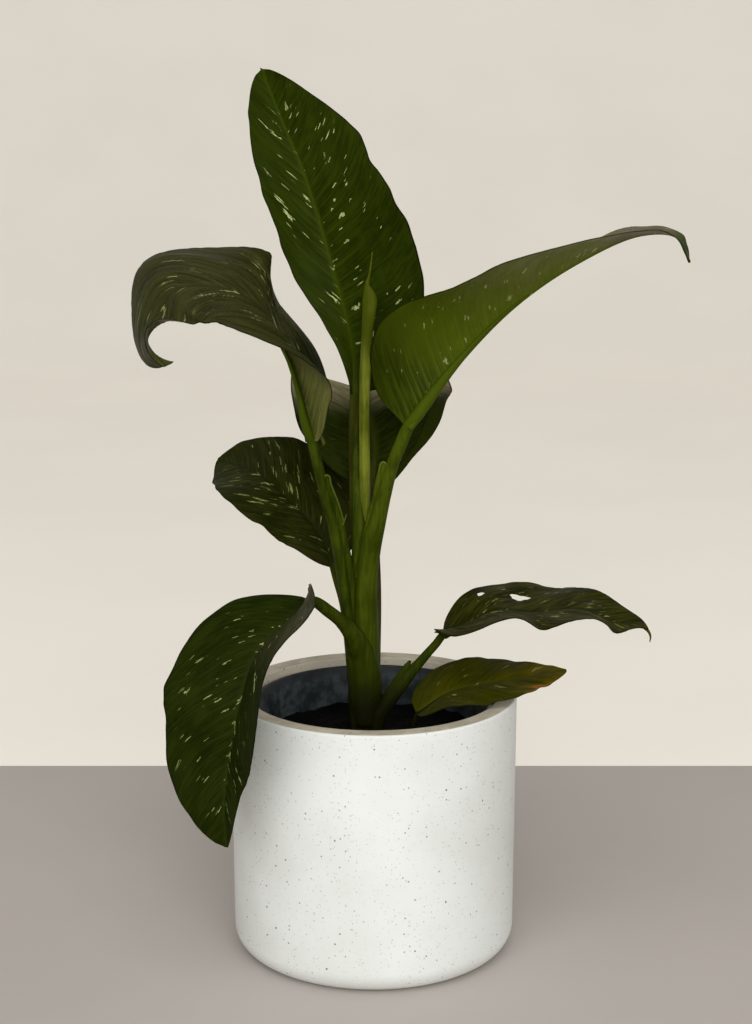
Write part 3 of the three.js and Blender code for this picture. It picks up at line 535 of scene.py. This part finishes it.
def strands(lists, sides=14):
    return [front_loft(points, sides=sides, step=1.2) for points in lists]


def blade_line(leaf):
    return Line([leaf["stalk"][-1][:3], *leaf["rib"]])


def blade_directions(leaf, line, t):
    return directions(line, t, keyed(leaf["faces"], t), keyed(leaf["turn"], t)[:, 0], BLADE_SMOOTHING)


def stalk_under_rib(leaf):
    """Stalk points that run on under the rib and get thin, with the way that they face."""
    wide, deep = leaf["stalk"][-1][3:]
    t = leaf["under_rib"] * np.array([0.1, 0.22, 0.36, 0.54, 0.75, 1])
    line = blade_line(leaf)
    _, up = blade_directions(leaf, line, t)
    past = t / leaf["under_rib"]
    thin = leaf.get("rib_size", 0.9) * np.maximum(1 - past, 0.02) ** leaf.get("rib_taper", 0.9)
    flat = 1 - 0.35 * smoothstep(past, 0, 0.5)
    if "rib_offset" in leaf:
        shift = thin * smoothstep(past, -0.05, 0.25)
        places = line.at(t) + np.array(leaf["rib_offset"]) * shift[:, None]
    else:
        sink = (deep * thin * flat - GAP) * smoothstep(past, -0.05, 0.4)
        places = line.at(t) - up * sink[:, None]
    points = np.column_stack([places, wide * thin, deep * thin * flat])
    first = leaf["faces"][0][1:]
    return [*leaf["stalk"], *points.tolist()], [*[first] * len(leaf["stalk"]), *up.tolist()]


def make_stalk(name, node, slot, material, parts, edges=(), length=FAR):
    """A stalk with sheaths and pale free edges; its length ends where the blade starts."""
    vertices, faces = joined([*parts, *edges])
    plain = [np.zeros(len(part[0])) for part in parts[1:]]
    pale = [np.full(len(part[0]), FREE_EDGE) for part in edges]
    run = np.concatenate([parts[0][2], *plain, *pale])
    maps = {"stalk": uv_map(run, run - length)}
    new_piece(name, node, slot, vertices, faces, material, maps)


# Blades

def half_width(leaf, side, t):
    """Half width of a blade at parts t: a round base and a drawn-out tip."""
    width, widest, base_shape, tip_shape = leaf["halves"][side]
    power = math.log(0.5) / math.log(widest)
    shape = between((base_shape, tip_shape), smoothstep(t, 0.2, 0.9))
    swell = np.maximum(np.sin(np.pi * t ** power), 0) ** shape
    width = between((between(leaf.get("ends", LEAST_HALF_WIDTH), t), width), swell)
    for bulge_side, where, height, spread in leaf.get("bulges", []):
        if bulge_side == side:
            width = width + height * np.exp(-((t - where) / spread) ** 2)
    return width + waves(OUTLINE_WAVES, t, side) * np.sin(np.pi * t)


def blade_grid(leaf, look, t, part):
    """Both faces of a blade and what its material needs; part is below 0 on the left half."""
    line = blade_line(leaf)
    across, up = blade_directions(leaf, line, t)
    side = (part > 0).astype(int)
    sign = np.where(part < 0, -1.0, 1.0)
    amount = np.abs(part)
    pick = np.arange(len(t))
    width = np.stack([half_width(leaf, 0, t), half_width(leaf, 1, t)], axis=1)[pick, side]
    fold = np.radians(keyed(leaf["fold"], t)[pick, side])
    bend = np.radians(keyed(leaf["curl"], t)[pick, side]) / width
    bend = np.where(np.abs(bend) < 1e-6, 1e-6, bend)
    reach = width * amount
    turned = fold - bend * reach
    out = (np.sin(fold) - np.sin(turned)) / bend
    rise = (np.cos(turned) - np.cos(fold)) / bend
    along = np.sin(np.pi * t)
    count, height, phase = leaf["wave"]
    ripple = np.sin(2 * np.pi * (count * t + phase + WAVE_SHIFT * side))
    rise = rise + height * along * amount ** WAVE_POWER * ripple
    rise = rise + waves(FRILL_WAVES, t, side) * along * amount ** 4
    places = line.at(t) + across * (sign * out)[:, None] + up * rise[:, None]
    tilt = turned * np.minimum(reach / RIB_HALF_WIDTH[0], 1)
    normals = up * np.cos(tilt)[:, None] - across * (sign * np.sin(tilt))[:, None]
    # Side veins run from the rib to the edge, and lean to the tip
    run = t * line.length
    lean = between(np.array(look["lean"], float)[side].T, t)
    vein = run - reach * (lean + VEIN_CURVE * amount ** 2)
    vein = vein + waves(VEIN_WAVES, vein, side)
    # Cushions between the sunken veins, and a soft unevenness
    off = np.abs((vein / VEIN_SPACING) % 1 - 0.5) * VEIN_SPACING
    cushion = -look["relief"] * np.exp(-((VEIN_SPACING / 2 - off) / VEIN_HALF_WIDTH) ** 2)
    fade = smoothstep(amount, 0.02, 0.15) * (1 - 0.7 * amount) * np.sin(np.pi * np.clip(t, 0, 1)) ** 0.3
    soft = waves(SOFT_WAVES, vein, side) * np.sin(np.pi * amount) * smoothstep(t, 0, 0.1)
    trough = -TROUGH_DEPTH * np.exp(-(reach / TROUGH_HALF_WIDTH) ** 2) * (1 - t) ** 0.5
    lift = cushion * fade + soft
    # The rib stands out below, and swells to the stalk at its base
    wide, deep = leaf["stalk"][-1][3:]
    swell = RIB_SWELL * (1 - t) ** 4
    rib_wide = between((between(RIB_HALF_WIDTH, t), wide), swell)
    rib_high = between((between(RIB_HEIGHT, t), 1.6 * deep), swell)
    ridge = rib_high * np.exp(-(reach / (0.8 * rib_wide)) ** 2)
    thick = between(BLADE_THICK, amount)
    return {
        "upper": places + normals * (lift + trough + thick / 2)[:, None],
        "lower": places + normals * (lift - ridge - thick / 2)[:, None],
        "run": run, "reach": sign * reach, "vein": vein, "slant": sign * reach * VEIN_SLANT,
        "edge": amount, "rib": np.exp(-(reach / between(RIB_GREEN, t)) ** 2), "part": t,
    }


def cut_holes(leaf, t, part, rows, columns):
    """Moves grid points onto the holes' edges and returns the quads that the holes remove."""
    gone = np.zeros((rows - 1, columns - 1), bool)
    length = blade_line(leaf).length
    width = half_width(leaf, 0, t)
    for where, place, long, wide in leaf.get("holes", []):
        across = half_width(leaf, 0, np.array([where]))[0] * place
        x = (t - where) * length
        y = -part * width - across
        ragged = 1 + waves(HOLE_WAVES, np.arctan2(y / wide, x / long))
        far = np.hypot(x / long, y / wide) / ragged
        inside = ((far < 1) & (part < 0)).reshape(rows, columns)
        hit = inside[:-1, :-1] & inside[1:, :-1] & inside[:-1, 1:] & inside[1:, 1:]
        gone |= hit
        near = np.zeros_like(inside)
        kept = np.zeros_like(inside)
        for i, j in ((0, 0), (1, 0), (0, 1), (1, 1)):
            near[i:rows - 1 + i, j:columns - 1 + j] |= hit
            kept[i:rows - 1 + i, j:columns - 1 + j] |= ~hit
        move = (near & kept).ravel()
        scale = 1 / np.maximum(far, 0.2)
        t = np.where(move, where + x * scale / length, t)
        part = np.where(move, -(across + y * scale) / half_width(leaf, 0, t), part)
    return t, part, gone


def make_blade(name, leaf, look, slot, material):
    """Both faces of a blade with a rounded edge between them, and its curled margins."""
    rows = int(blade_line(leaf).length / BLADE_STEP) + 2
    half = np.linspace(0, 1, BLADE_STATIONS + 1)[1:] ** 1.25
    stations = np.concatenate([-half[::-1], [0], half])
    columns = len(stations)
    t = np.repeat(np.linspace(0, 1, rows), columns)
    part = np.tile(stations, rows)
    t, part, gone = cut_holes(leaf, t, part, rows, columns)
    grid = blade_grid(leaf, look, t, part)
    upper, lower = grid["upper"], grid["lower"]
    count = rows * columns
    faces = []
    edges = {}
    for i, j in zip(*np.nonzero(~gone)):
        a = int(i * columns + j)
        quad = (a, a + 1, a + 1 + columns, a + columns)
        faces.append(quad)
        faces.append(tuple(v + count for v in reversed(quad)))
        for k in range(4):
            edges[(quad[k], quad[(k + 1) % 4])] = quad
    # A rounded rim, with one point between the faces at each border point
    border = [edge for edge in edges if (edge[1], edge[0]) not in edges]
    inner = {}
    for a, b in border:
        middle = sum(upper[v] + lower[v] for v in edges[(a, b)]) / 8
        inner.setdefault(a, []).append(middle)
        inner.setdefault(b, []).append(middle)
    rim = {}
    rounded = []
    for a, near in inner.items():
        centre = (upper[a] + lower[a]) / 2
        outward = unit(centre - sum(near) / len(near))
        thick = np.linalg.norm(upper[a] - lower[a])
        rim[a] = 2 * count + len(rounded)
        rounded.append(centre + outward * min(0.35 * thick, EDGE_ROUND))
    for a, b in border:
        faces.append((b, a, rim[a], rim[b]))
        faces.append((rim[b], rim[a], a + count, b + count))
    margins = strands(leaf.get("margins", []))
    vertices, faces = joined([(np.vstack([upper, lower, rounded]), faces), *margins])
    on_rim = np.array(list(rim), int)
    more = sum(len(part[0]) for part in margins)

    def spread(key, on_margins=0.0):
        values = grid[key]
        return np.concatenate([values, values, values[on_rim], np.full(more, on_margins)])

    maps = {"blade": uv_map(spread("reach"), spread("run")),
            "vein": uv_map(spread("vein"), spread("slant"))}
    under = np.concatenate([np.zeros(count), np.ones(count), np.full(len(on_rim), 0.5), np.ones(more)])
    values = {"edge": spread("edge", 0.9), "rib": spread("rib"), "under": under,
              "part": spread("part", 1.0)}
    new_piece(f"blade_{name}", f"leaf_{name}", slot, vertices, faces, material, maps, values)


# Turned pieces

def turned(profile, sides):
    """A closed turned shape from a profile that starts and ends on the axis."""
    angle = np.linspace(0, 2 * np.pi, sides, endpoint=False)
    rings = [np.stack([r * np.cos(angle), r * np.sin(angle), np.full(sides, z)], axis=1)
             for r, z in profile[1:-1]]
    return closed(np.vstack(rings), sides, [[0, 0, profile[0][1]], [0, 0, profile[-1][1]]])


def corner(r, z, radius, start, end, steps):
    """Points of a round corner about (r, z), from one angle to another in degrees."""
    angles = np.radians(np.linspace(start, end, steps + 1))
    return [(r + radius * math.cos(a), z + radius * math.sin(a)) for a in angles]


def straight(start, end, steps):
    """Points between two profile points, without the ends."""
    return [tuple(between(ends, k / steps) for ends in zip(start, end)) for k in range(1, steps)]


# Materials

def srgb(shade):
    """A shade given as 0 to 255, as a linear colour."""
    parts = [value / 255 for value in shade]
    return (*[v / 12.92 if v <= 0.04045 else ((v + 0.055) / 1.055) ** 2.4 for v in parts], 1)


class Signal:
    """A value in a material's node tree. Its operators and methods add the nodes that use it."""

    def __init__(self, finish, socket):
        self.finish = finish
        self.socket = socket

    def math(self, operation, b=0, c=0):
        return self.finish.add("Math", {0: self, 1: b, 2: c}, operation=operation)

    def __add__(self, other):
        return self.math("ADD", other)

    def __sub__(self, other):
        return self.math("SUBTRACT", other)

    def __mul__(self, other):
        return self.math("MULTIPLY", other)

    def __truediv__(self, other):
        return self.math("DIVIDE", other)

    def __lt__(self, other):
        return self.math("LESS_THAN", other)

    def band(self, low, high, start=0, end=1):
        """A smooth change from start to end as the value goes from low to high."""
        feeds = {"Value": self, "From Min": low, "From Max": high, "To Min": start, "To Max": end}
        return self.finish.add("MapRange", feeds, ["Result"], interpolation_type="SMOOTHSTEP")

    def noise(self, scale, detail=3, roughness=0.55):
        feeds = {"Vector": self, "Scale": scale, "Detail": detail, "Roughness": roughness}
        return self.finish.add("TexNoise", feeds, ["Fac"])

    def cells(self, scale=1):
        """Distance from cell centres, and two random numbers for each cell."""
        far, random = self.finish.add("TexVoronoi", {"Vector": self, "Scale": scale}, ["Distance", "Color"])
        return far, *self.finish.add("SeparateColor", {0: random}, [0, 1])

    def axes(self):
        return self.finish.add("SeparateXYZ", {0: self}, [0, 1, 2])


class Finish:
    """A material, painted in coats."""

    def __init__(self, name, shine):
        self.material = bpy.data.materials.new(name)
        self.material.use_nodes = True
        self.tree = self.material.node_tree
        self.shader = self.tree.nodes["Principled BSDF"].inputs
        self.shader["Specular IOR Level"].default_value = shine

    def feed(self, socket, value):
        if isinstance(value, Signal):
            self.tree.links.new(value.socket, socket)
        else:
            socket.default_value = value

    def add(self, kind, feeds=None, outputs=(0,), **settings):
        """Adds a node and gives the outputs asked for."""
        node = self.tree.nodes.new("ShaderNode" + kind)
        for key, value in settings.items():
            setattr(node, key, value)
        for key, value in (feeds or {}).items():
            self.feed(node.inputs[key], value)
        signals = [Signal(self, node.outputs[key]) for key in outputs]
        return signals if len(signals) > 1 else signals[0]

    def place(self):
        return self.add("TexCoord", outputs=["Object"])

    def attribute(self, name):
        return self.add("Attribute", outputs=["Fac"], attribute_name=name)

    def vector(self, x, y, z=0):
        return self.add("CombineXYZ", {0: x, 1: y, 2: z})

    def map(self, name):
        """Both values of a UV map, in millimetres."""
        u, v, _ = self.add("UVMap", uv_map=name).axes()
        return u * MAP_UNIT, v * MAP_UNIT

    def mix(self, part, a, b):
        """A mix of two linear colours, from a where part is 0 to b where it is 1."""
        return self.add("Mix", {0: part, 6: a, 7: b}, [2], data_type="RGBA")

    def base(self, part, dark, light):
        self.colour = self.mix(part, srgb(dark), srgb(light))

    def paint(self, part, shade):
        """A coat over the colours so far, where part is above 0."""
        self.colour = self.mix(part, self.colour, shade if isinstance(shade, Signal) else srgb(shade))

    def done(self, roughness, height=None, distance=0, strength=1):
        """Feeds colour, roughness and relief to the shader, and gives the material."""
        self.feed(self.shader["Base Color"], self.colour)
        self.feed(self.shader["Roughness"], roughness)
        if height is not None:
            bump = self.add("Bump", {"Height": height, "Distance": distance, "Strength": strength})
            self.feed(self.shader["Normal"], bump)
        return self.material


def fleck_mask(finish, vein, slant, wide, long, amount, seed, wander):
    """Ragged flecks stretched along the side veins, in loose groups."""
    shift = finish.vector(vein, slant, seed).noise(0.4, 3, 0.6)
    far, chance, size = finish.vector(vein / wide + shift * wander, slant / long, seed).cells()
    chosen = finish.vector(vein, slant, seed + 5).noise(0.045, 1).band(0.36, 0.6, 0, amount)
    near = (far - (size * 0.28 + 0.04)).band(0, 0.06, 1, 0)
    return near * (chance < chosen)


def leaf_finish(name, look, seed, yellowed=False):
    """A leaf blade: mottled green, fine veins, pale flecks, dark margin, paler underside."""
    finish = Finish(name, look["shine"])
    vein, slant = finish.map("vein")
    reach, run = finish.map("blade")
    edge, part, rib, under = [finish.attribute(key) for key in ("edge", "part", "rib", "under")]

    def cloud(shift, scale, detail):
        return finish.vector(vein, slant, seed + shift).noise(scale, detail)

    streaks = finish.vector(vein, slant * 0.12, seed + 2).noise(0.55, 2)
    tone = cloud(0, 0.06, 3) * 0.45 + streaks * 0.55
    finish.base(tone.band(0.38, 0.62), look["dark"], look["light"])
    # The underside is paler, and some parts get painted highlights, painted sheen, painted shade and tints
    soft = look.get("under", [value * 1.2 + 8 for value in look["light"]])
    finish.paint(under.band(0.4, 0.9, 0, 0.55), soft)
    for shade, low, high, fall, end, half in look.get("painted_light_and_tints", []):
        where = part.band(low, high) * part.band(fall, end, 1, 0)
        if half:
            where = where * (reach * half).band(0, 3)
        finish.paint(where * streaks.band(0.32, 0.64, 0.5, 0.88), shade)
    if yellowed:
        patch = cloud(9, 0.07, 3)
        finish.paint((part * 0.8 + patch).band(0.95, 1.3, 0, 0.7), YELLOWED_TAN)
        near_tip = part.band(0.68, 0.78) * part.band(0.84, 0.93, 1, 0) * reach.band(4, 12)
        finish.paint((edge * 0.7 + patch).band(1.08, 1.2) * near_tip, BURNT_EDGE)
    # Side veins as thin lines, with two finer ones between them
    lines = (vein + VEIN_SPACING / 2).math("PINGPONG", VEIN_SPACING / 2).band(0.2, 0.8, 0.7, 0)
    fine_lines = vein.math("PINGPONG", VEIN_SPACING / 6).band(0.05, 0.5, 0.35, 0)
    veins = lines.math("MAXIMUM", fine_lines) * edge.band(0, 0.75, 1, 0.1)
    finish.paint(veins, look["vein"])
    finish.paint(rib * 0.85, look["rib"])
    # Flecks stay off the margin, the base and the tip
    inside = edge.band(0.7, 0.92, 1, 0) * part.band(0.05, 0.16) * part.band(0.84, 0.95, 1, 0)
    large, medium, thin = [
        fleck_mask(finish, vein, slant, wide, look["long"] * long, look["amount"] * share, seed + shift,
                   wander) for wide, long, share, shift, wander in FLECKS]
    flecks = large.math("MAXIMUM", medium).math("MAXIMUM", thin)
    pale = finish.mix(cloud(61, 0.3, 2).band(0.35, 0.6, 0.45, 1), srgb(look["light"]),
                      srgb(look["fleck"]))
    finish.paint(flecks * inside * under.band(0.3, 0.7, 0.92, 0.6), pale)
    finish.paint(edge.band(0.972, 0.995, 0, 0.8), DARK_MARGIN)
    pores = finish.vector(reach, run, seed).noise(1.6, 3)
    rough = cloud(31, 0.12, 2).band(0.3, 0.7, 0.4, 0.55)
    return finish.done(rough, fine_lines * -1.2 + pores, 0.00025, 0.6)


def stalk_finish(name, dark, light, base, rib):
    """A fleshy stalk: long streaks, darker low down, painted shade near the soil, rib green under the
    blade, pale free edges.
    """
    finish = Finish(name, 0.04)
    run, past = finish.map("stalk")
    where = finish.place()
    x, y, height = where.axes()
    streaks = finish.vector(x, y, height * 0.06).noise(420, 3)
    mottle = where.noise(45, 3)
    finish.base((streaks * 0.5 + mottle * 0.5).band(0.38, 0.62), dark, light)
    finish.paint(height.band(*STALK_LOW, 1, 0) * 0.7, base)
    finish.paint(past.band(-14, 10, 0, 0.75), rib)
    # Painted shade makes the stalks near black where they leave the soil
    finish.paint((height + mottle * 0.012).band(*STALK_FOOT, 0.88, 0), FOOT_PAINTED_SHADE)
    finish.paint(run.band(-16, -12, 0.35, 0), PALE_EDGE)
    return finish.done(0.6, streaks, 0.0003, 0.6)


def pot_finish():
    """Cast pot: white with sparse dark specks and faint beige ones, and a ground greige rim."""
    finish = Finish("cover_pot_cast", 0.4)
    where = finish.place()
    cloud = where.noise(14, 4)
    finish.base(cloud.band(0.3, 0.7), (226, 229, 224), (236, 239, 236))
    # Ground rim and the unglazed inside
    x, y, height = where.axes()
    radius = finish.add("VectorMath", {0: finish.vector(x, y)}, ["Value"], operation="LENGTH")
    inside = radius.band((POT_RADIUS - 1.5) * MM, (POT_RADIUS - 0.9) * MM, 1, 0)
    top = height.band((POT_HEIGHT - 40) * MM, (POT_HEIGHT - 36) * MM)
    greige = finish.mix(where.noise(60, 4).band(0.35, 0.65), srgb(DARK_GREIGE), srgb(PALE_GREIGE))
    wall = (POT_RADIUS - POT_WALL) * MM
    # The inner wall is painted lighter: painted light against its shade
    greige = finish.mix(radius.band(wall, wall + MM, 1, 0), greige, srgb(INNER_WALL_PAINTED_LIGHT))
    finish.paint(inside * top, greige)
    for scale, share, small, big, shade, strength in SPECKS:
        far, chance, size = where.cells(scale)
        near = (far - (size * (big - small) + small)).band(0, 0.05, strength, 0)
        finish.paint(near * (chance < share), shade)
    return finish.done(cloud.band(0.3, 0.7, 0.5, 0.62), where.noise(900, 2), 0.0002, 0.25)


def nursery_finish():
    """Dark blue-grey moulded plastic with dust and scuffs, and painted shade at the lip."""
    finish = Finish("nursery_pot_plastic", 0.4)
    where = finish.place()
    dust = where.noise(90, 5, 0.65)
    finish.base(dust.band(0.38, 0.68), (36, 42, 43), (74, 82, 83))
    # Painted shade darkens the top of the pot up to its lip, for the shadowed gap under the cover pot's rim
    lip = where.axes()[2].band((POT_HEIGHT - 14) * MM, (POT_HEIGHT - 7) * MM)
    finish.paint(lip * 0.7, (20, 22, 26))
    return finish.done(dust.band(0.35, 0.7, 0.42, 0.7), where.noise(700, 3), 0.0003, 0.4)


def soil_finish():
    """Near-black moist potting mix with a few brown fibres."""
    finish = Finish("soil_mix", 0.1)
    where = finish.place()
    crumbs = where.noise(260, 6, 0.7)
    finish.base(crumbs.band(0.4, 0.75), (2, 1, 1), (11, 9, 7))
    far, chance, _ = where.cells(220)
    finish.paint((chance < 0.04) * far.band(0.1, 0.2, 0.7, 0), (62, 48, 34))
    return finish.done(0.95, crumbs, 0.002, 0.8)


# Leaves, stalks, stem and spear

for number, (name, leaf) in enumerate(LEAVES.items()):
    look = LOOKS[name]
    green = leaf_finish(f"leaf_{name}_green", look, 11 + 37 * number, name == "yellowing")
    make_blade(name, leaf, look, LEAF_SLOTS.get(name, "leaf"), green)

stem_green = stalk_finish("stem_green", (44, 54, 2), (64, 76, 10), (52, 60, 8), (64, 76, 10))
spear_green = stalk_finish("spear_lime_green", (74, 82, 13), (110, 117, 36), (80, 90, 12), (60, 68, 1))

for name, leaf in LEAVES.items():
    points, facing = stalk_under_rib(leaf)
    parts = [loft(points, facing, leaf["groove"], flute=0.012), *strands(leaf.get("sheaths", []), 28)]
    green = stalk_finish(f"petiole_{name}_green", *STALK_GREENS.get(name, PLAIN_GREENS),
                         LOOKS[name].get("bright_rib", LOOKS[name]["rib"]))
    length = Line(np.array(leaf["stalk"])[:, :3]).length
    make_stalk(f"petiole_{name}", f"stalk_{name}", "stalk", green, parts, strands(leaf.get("curls", [])),
               length)

stem = front_loft(STEM, flute=0.01, sides=48)
make_stalk("stem", "main_stem", "stalk", stem_green, [stem, *strands([SPEAR_SHEATH, OLD_SHEATH], 32)])
spear = front_loft(NEW_LEAF, sides=48, roll=1)
make_stalk("spear", "new_leaf", "young_leaf", spear_green, [spear], length=PALE_SPEAR)

# Cover pot
inner = POT_RADIUS - POT_WALL
rim_height = POT_HEIGHT - POT_RIM_ROUND
foot = corner(POT_FOOT_RADIUS - POT_FOOT_ROUND, POT_FOOT_ROUND, POT_FOOT_ROUND, -90, 0, 14)
outer_rim = corner(POT_RADIUS - POT_RIM_ROUND, rim_height, POT_RIM_ROUND, 0, 90, 6)
inner_rim = corner(inner + POT_RIM_ROUND, rim_height, POT_RIM_ROUND, 90, 180, 6)
inner_foot = (inner, POT_FLOOR + POT_INNER_ROUND)
profile = [(0, 0), (POT_CENTRE, 0), *foot, *straight(foot[-1], outer_rim[0], 12), *outer_rim,
           *straight(outer_rim[-1], inner_rim[0], 4), *inner_rim,
           *straight(inner_rim[-1], inner_foot, 10), inner_foot,
           (inner - POT_INNER_ROUND, POT_FLOOR), (POT_CENTRE, POT_FLOOR), (0, POT_FLOOR)]
new_piece("pot_cast", "cover_pot", "cover_pot", *turned(profile, 160), pot_finish())

# Nursery pot
bottom = POT_FLOOR + GAP
foot_height = bottom + NURSERY_FLOOR
lip_height = POT_HEIGHT - NURSERY_LIP_DROP
step_height = lip_height - NURSERY_LIP_HEIGHT


def nursery_inside(z):
    """Inner radius of the nursery pot at height z."""
    grow = (z - foot_height) / (lip_height - foot_height)
    return between((NURSERY_FOOT_RADIUS, NURSERY_RADIUS - NURSERY_LIP), grow) - NURSERY_WALL


below_lip = (nursery_inside(lip_height - 4), lip_height - 4)
inside_foot = (nursery_inside(foot_height), foot_height)
outside_step = (nursery_inside(step_height) + NURSERY_WALL, step_height)
outside_foot = (NURSERY_FOOT_RADIUS, foot_height)
lip = corner(NURSERY_RADIUS - NURSERY_LIP_ROUND, lip_height - NURSERY_LIP_ROUND, NURSERY_LIP_ROUND,
             0, 180, 8)
profile = [(0, bottom), (NURSERY_FOOT_RADIUS - 3, bottom), outside_foot,
           *straight(outside_foot, outside_step, 8), outside_step,
           (NURSERY_RADIUS, step_height + 2), (NURSERY_RADIUS, lip_height - 1.2), *lip,
           below_lip, *straight(below_lip, inside_foot, 16), inside_foot, (0, foot_height)]
new_piece("nursery_cup", "nursery_pot", "nursery_pot", *turned(profile, 120), nursery_finish())

# Soil: an uneven crumbly top inside the nursery pot
soil_bottom = POT_FLOOR + NURSERY_FLOOR + 2 * GAP
low_edge = (nursery_inside(soil_bottom) - GAP, soil_bottom)
outer = nursery_inside(SOIL_TOP) - GAP - 0.1
profile = [(0, soil_bottom), low_edge, *straight(low_edge, (outer, SOIL_TOP), 6),
           *[(outer * (1 - k / SOIL_RINGS), SOIL_TOP) for k in range(SOIL_RINGS)], (0, SOIL_TOP)]
vertices, faces = turned(profile, SOIL_SIDES)
on_top = vertices[:, 2] > SOIL_TOP - 0.01
x, y = vertices[on_top, 0], vertices[on_top, 1]
rise = SOIL_SWELL * (np.sin(0.11 * x + 0.7) * np.cos(0.13 * y) + 0.6 * np.sin(0.29 * x - 0.21 * y))
for across, along, pitch, start in np.random.default_rng(7).normal(size=(60, 4)):
    ripple = np.sin((0.08 + 0.5 * abs(pitch)) * (across * x + along * y) + 6 * start)
    rise += SOIL_CRUMB / (1 + abs(pitch)) * ripple
vertices[on_top, 2] += rise
new_piece("soil_mix", "potting_soil", "soil", vertices, faces, soil_finish())


# Floor, and a pale sweep behind its edge

def plain_finish(name, shade, glow=0.0):
    """A plain matt finish. The glow keeps a far backdrop as pale as a near wall."""
    finish = Finish(name, 0.15)
    colour = srgb(shade)
    lighter = [min(1, value * 1.05) for value in colour]
    finish.colour = finish.mix(finish.place().noise(3).band(0.3, 0.7), colour, lighter)
    finish.shader["Emission Color"].default_value = colour
    finish.shader["Emission Strength"].default_value = glow
    return finish.done(0.9)


def sheet(name, profile, material):
    """A wide sheet along a profile of [y, z] points."""
    corners = [(x, y, z) for y, z in profile for x in (-STAGE_HALF_WIDTH, STAGE_HALF_WIDTH)]
    faces = [(2 * i, 2 * i + 1, 2 * i + 3, 2 * i + 2) for i in range(len(profile) - 1)]
    new_object(name, new_mesh(name, corners, faces, material))


sweep = corner(SWEEP_FLAT, SWEEP_ROUND, SWEEP_ROUND, -90, 0, 24)
sheet("floor", [(STAGE_FRONT, 0), (FLOOR_EDGE, 0)], plain_finish("floor_pale", (186, 179, 173)))
sheet("backdrop", [(FLOOR_EDGE, 0), *sweep, (SWEEP_FLAT + SWEEP_ROUND, STAGE_HEIGHT)],
      plain_finish("backdrop_pale", (218, 213, 203), 0.42))

# Camera at the photograph's place and angle
camera = new_object("camera", bpy.data.cameras.new("camera"))
camera.location = CAMERA_PLACE
camera.rotation_euler = Euler((math.radians(90 - CAMERA_PITCH), 0, 0))
camera.data.sensor_fit = "VERTICAL"
camera.data.sensor_height = SENSOR_HEIGHT
camera.data.lens = FOCAL_PIXELS / PHOTO_HEIGHT * SENSOR_HEIGHT
bpy.context.scene.camera = camera


def area_light(name, place, target, size, power, colour):
    data = bpy.data.lights.new(name, "AREA")
    data.shape = "DISK"
    data.size = size
    data.energy = power
    data.color = colour
    light = new_object(name, data)
    light.location = place
    aim = Vector(target) - Vector(place)
    light.rotation_euler = aim.to_track_quat("-Z", "Y").to_euler()
    light.visible_camera = False


# Soft studio light: a large key from the front right, a fill from the left, one from above
area_light("key_light", (0.6, -2.7, 1.4), (0, 0, 0.25), 2.2, 36, (1, 1, 0.99))
area_light("fill_light", (-0.8, -2.7, 1.1), (0, 0, 0.25), 3.2, 33, (1, 1, 0.99))
area_light("top_light", (0, -1.2, 2.4), (0, 0, 0), 1.8, 14, (1, 1, 1))

world = bpy.data.worlds.new("studio")
world.use_nodes = True
sky = world.node_tree.nodes["Background"].inputs
sky["Color"].default_value = (1, 0.99, 0.98, 1)
sky["Strength"].default_value = 0.36
bpy.context.scene.world = world
bpy.context.scene.view_settings.view_transform = "Standard"
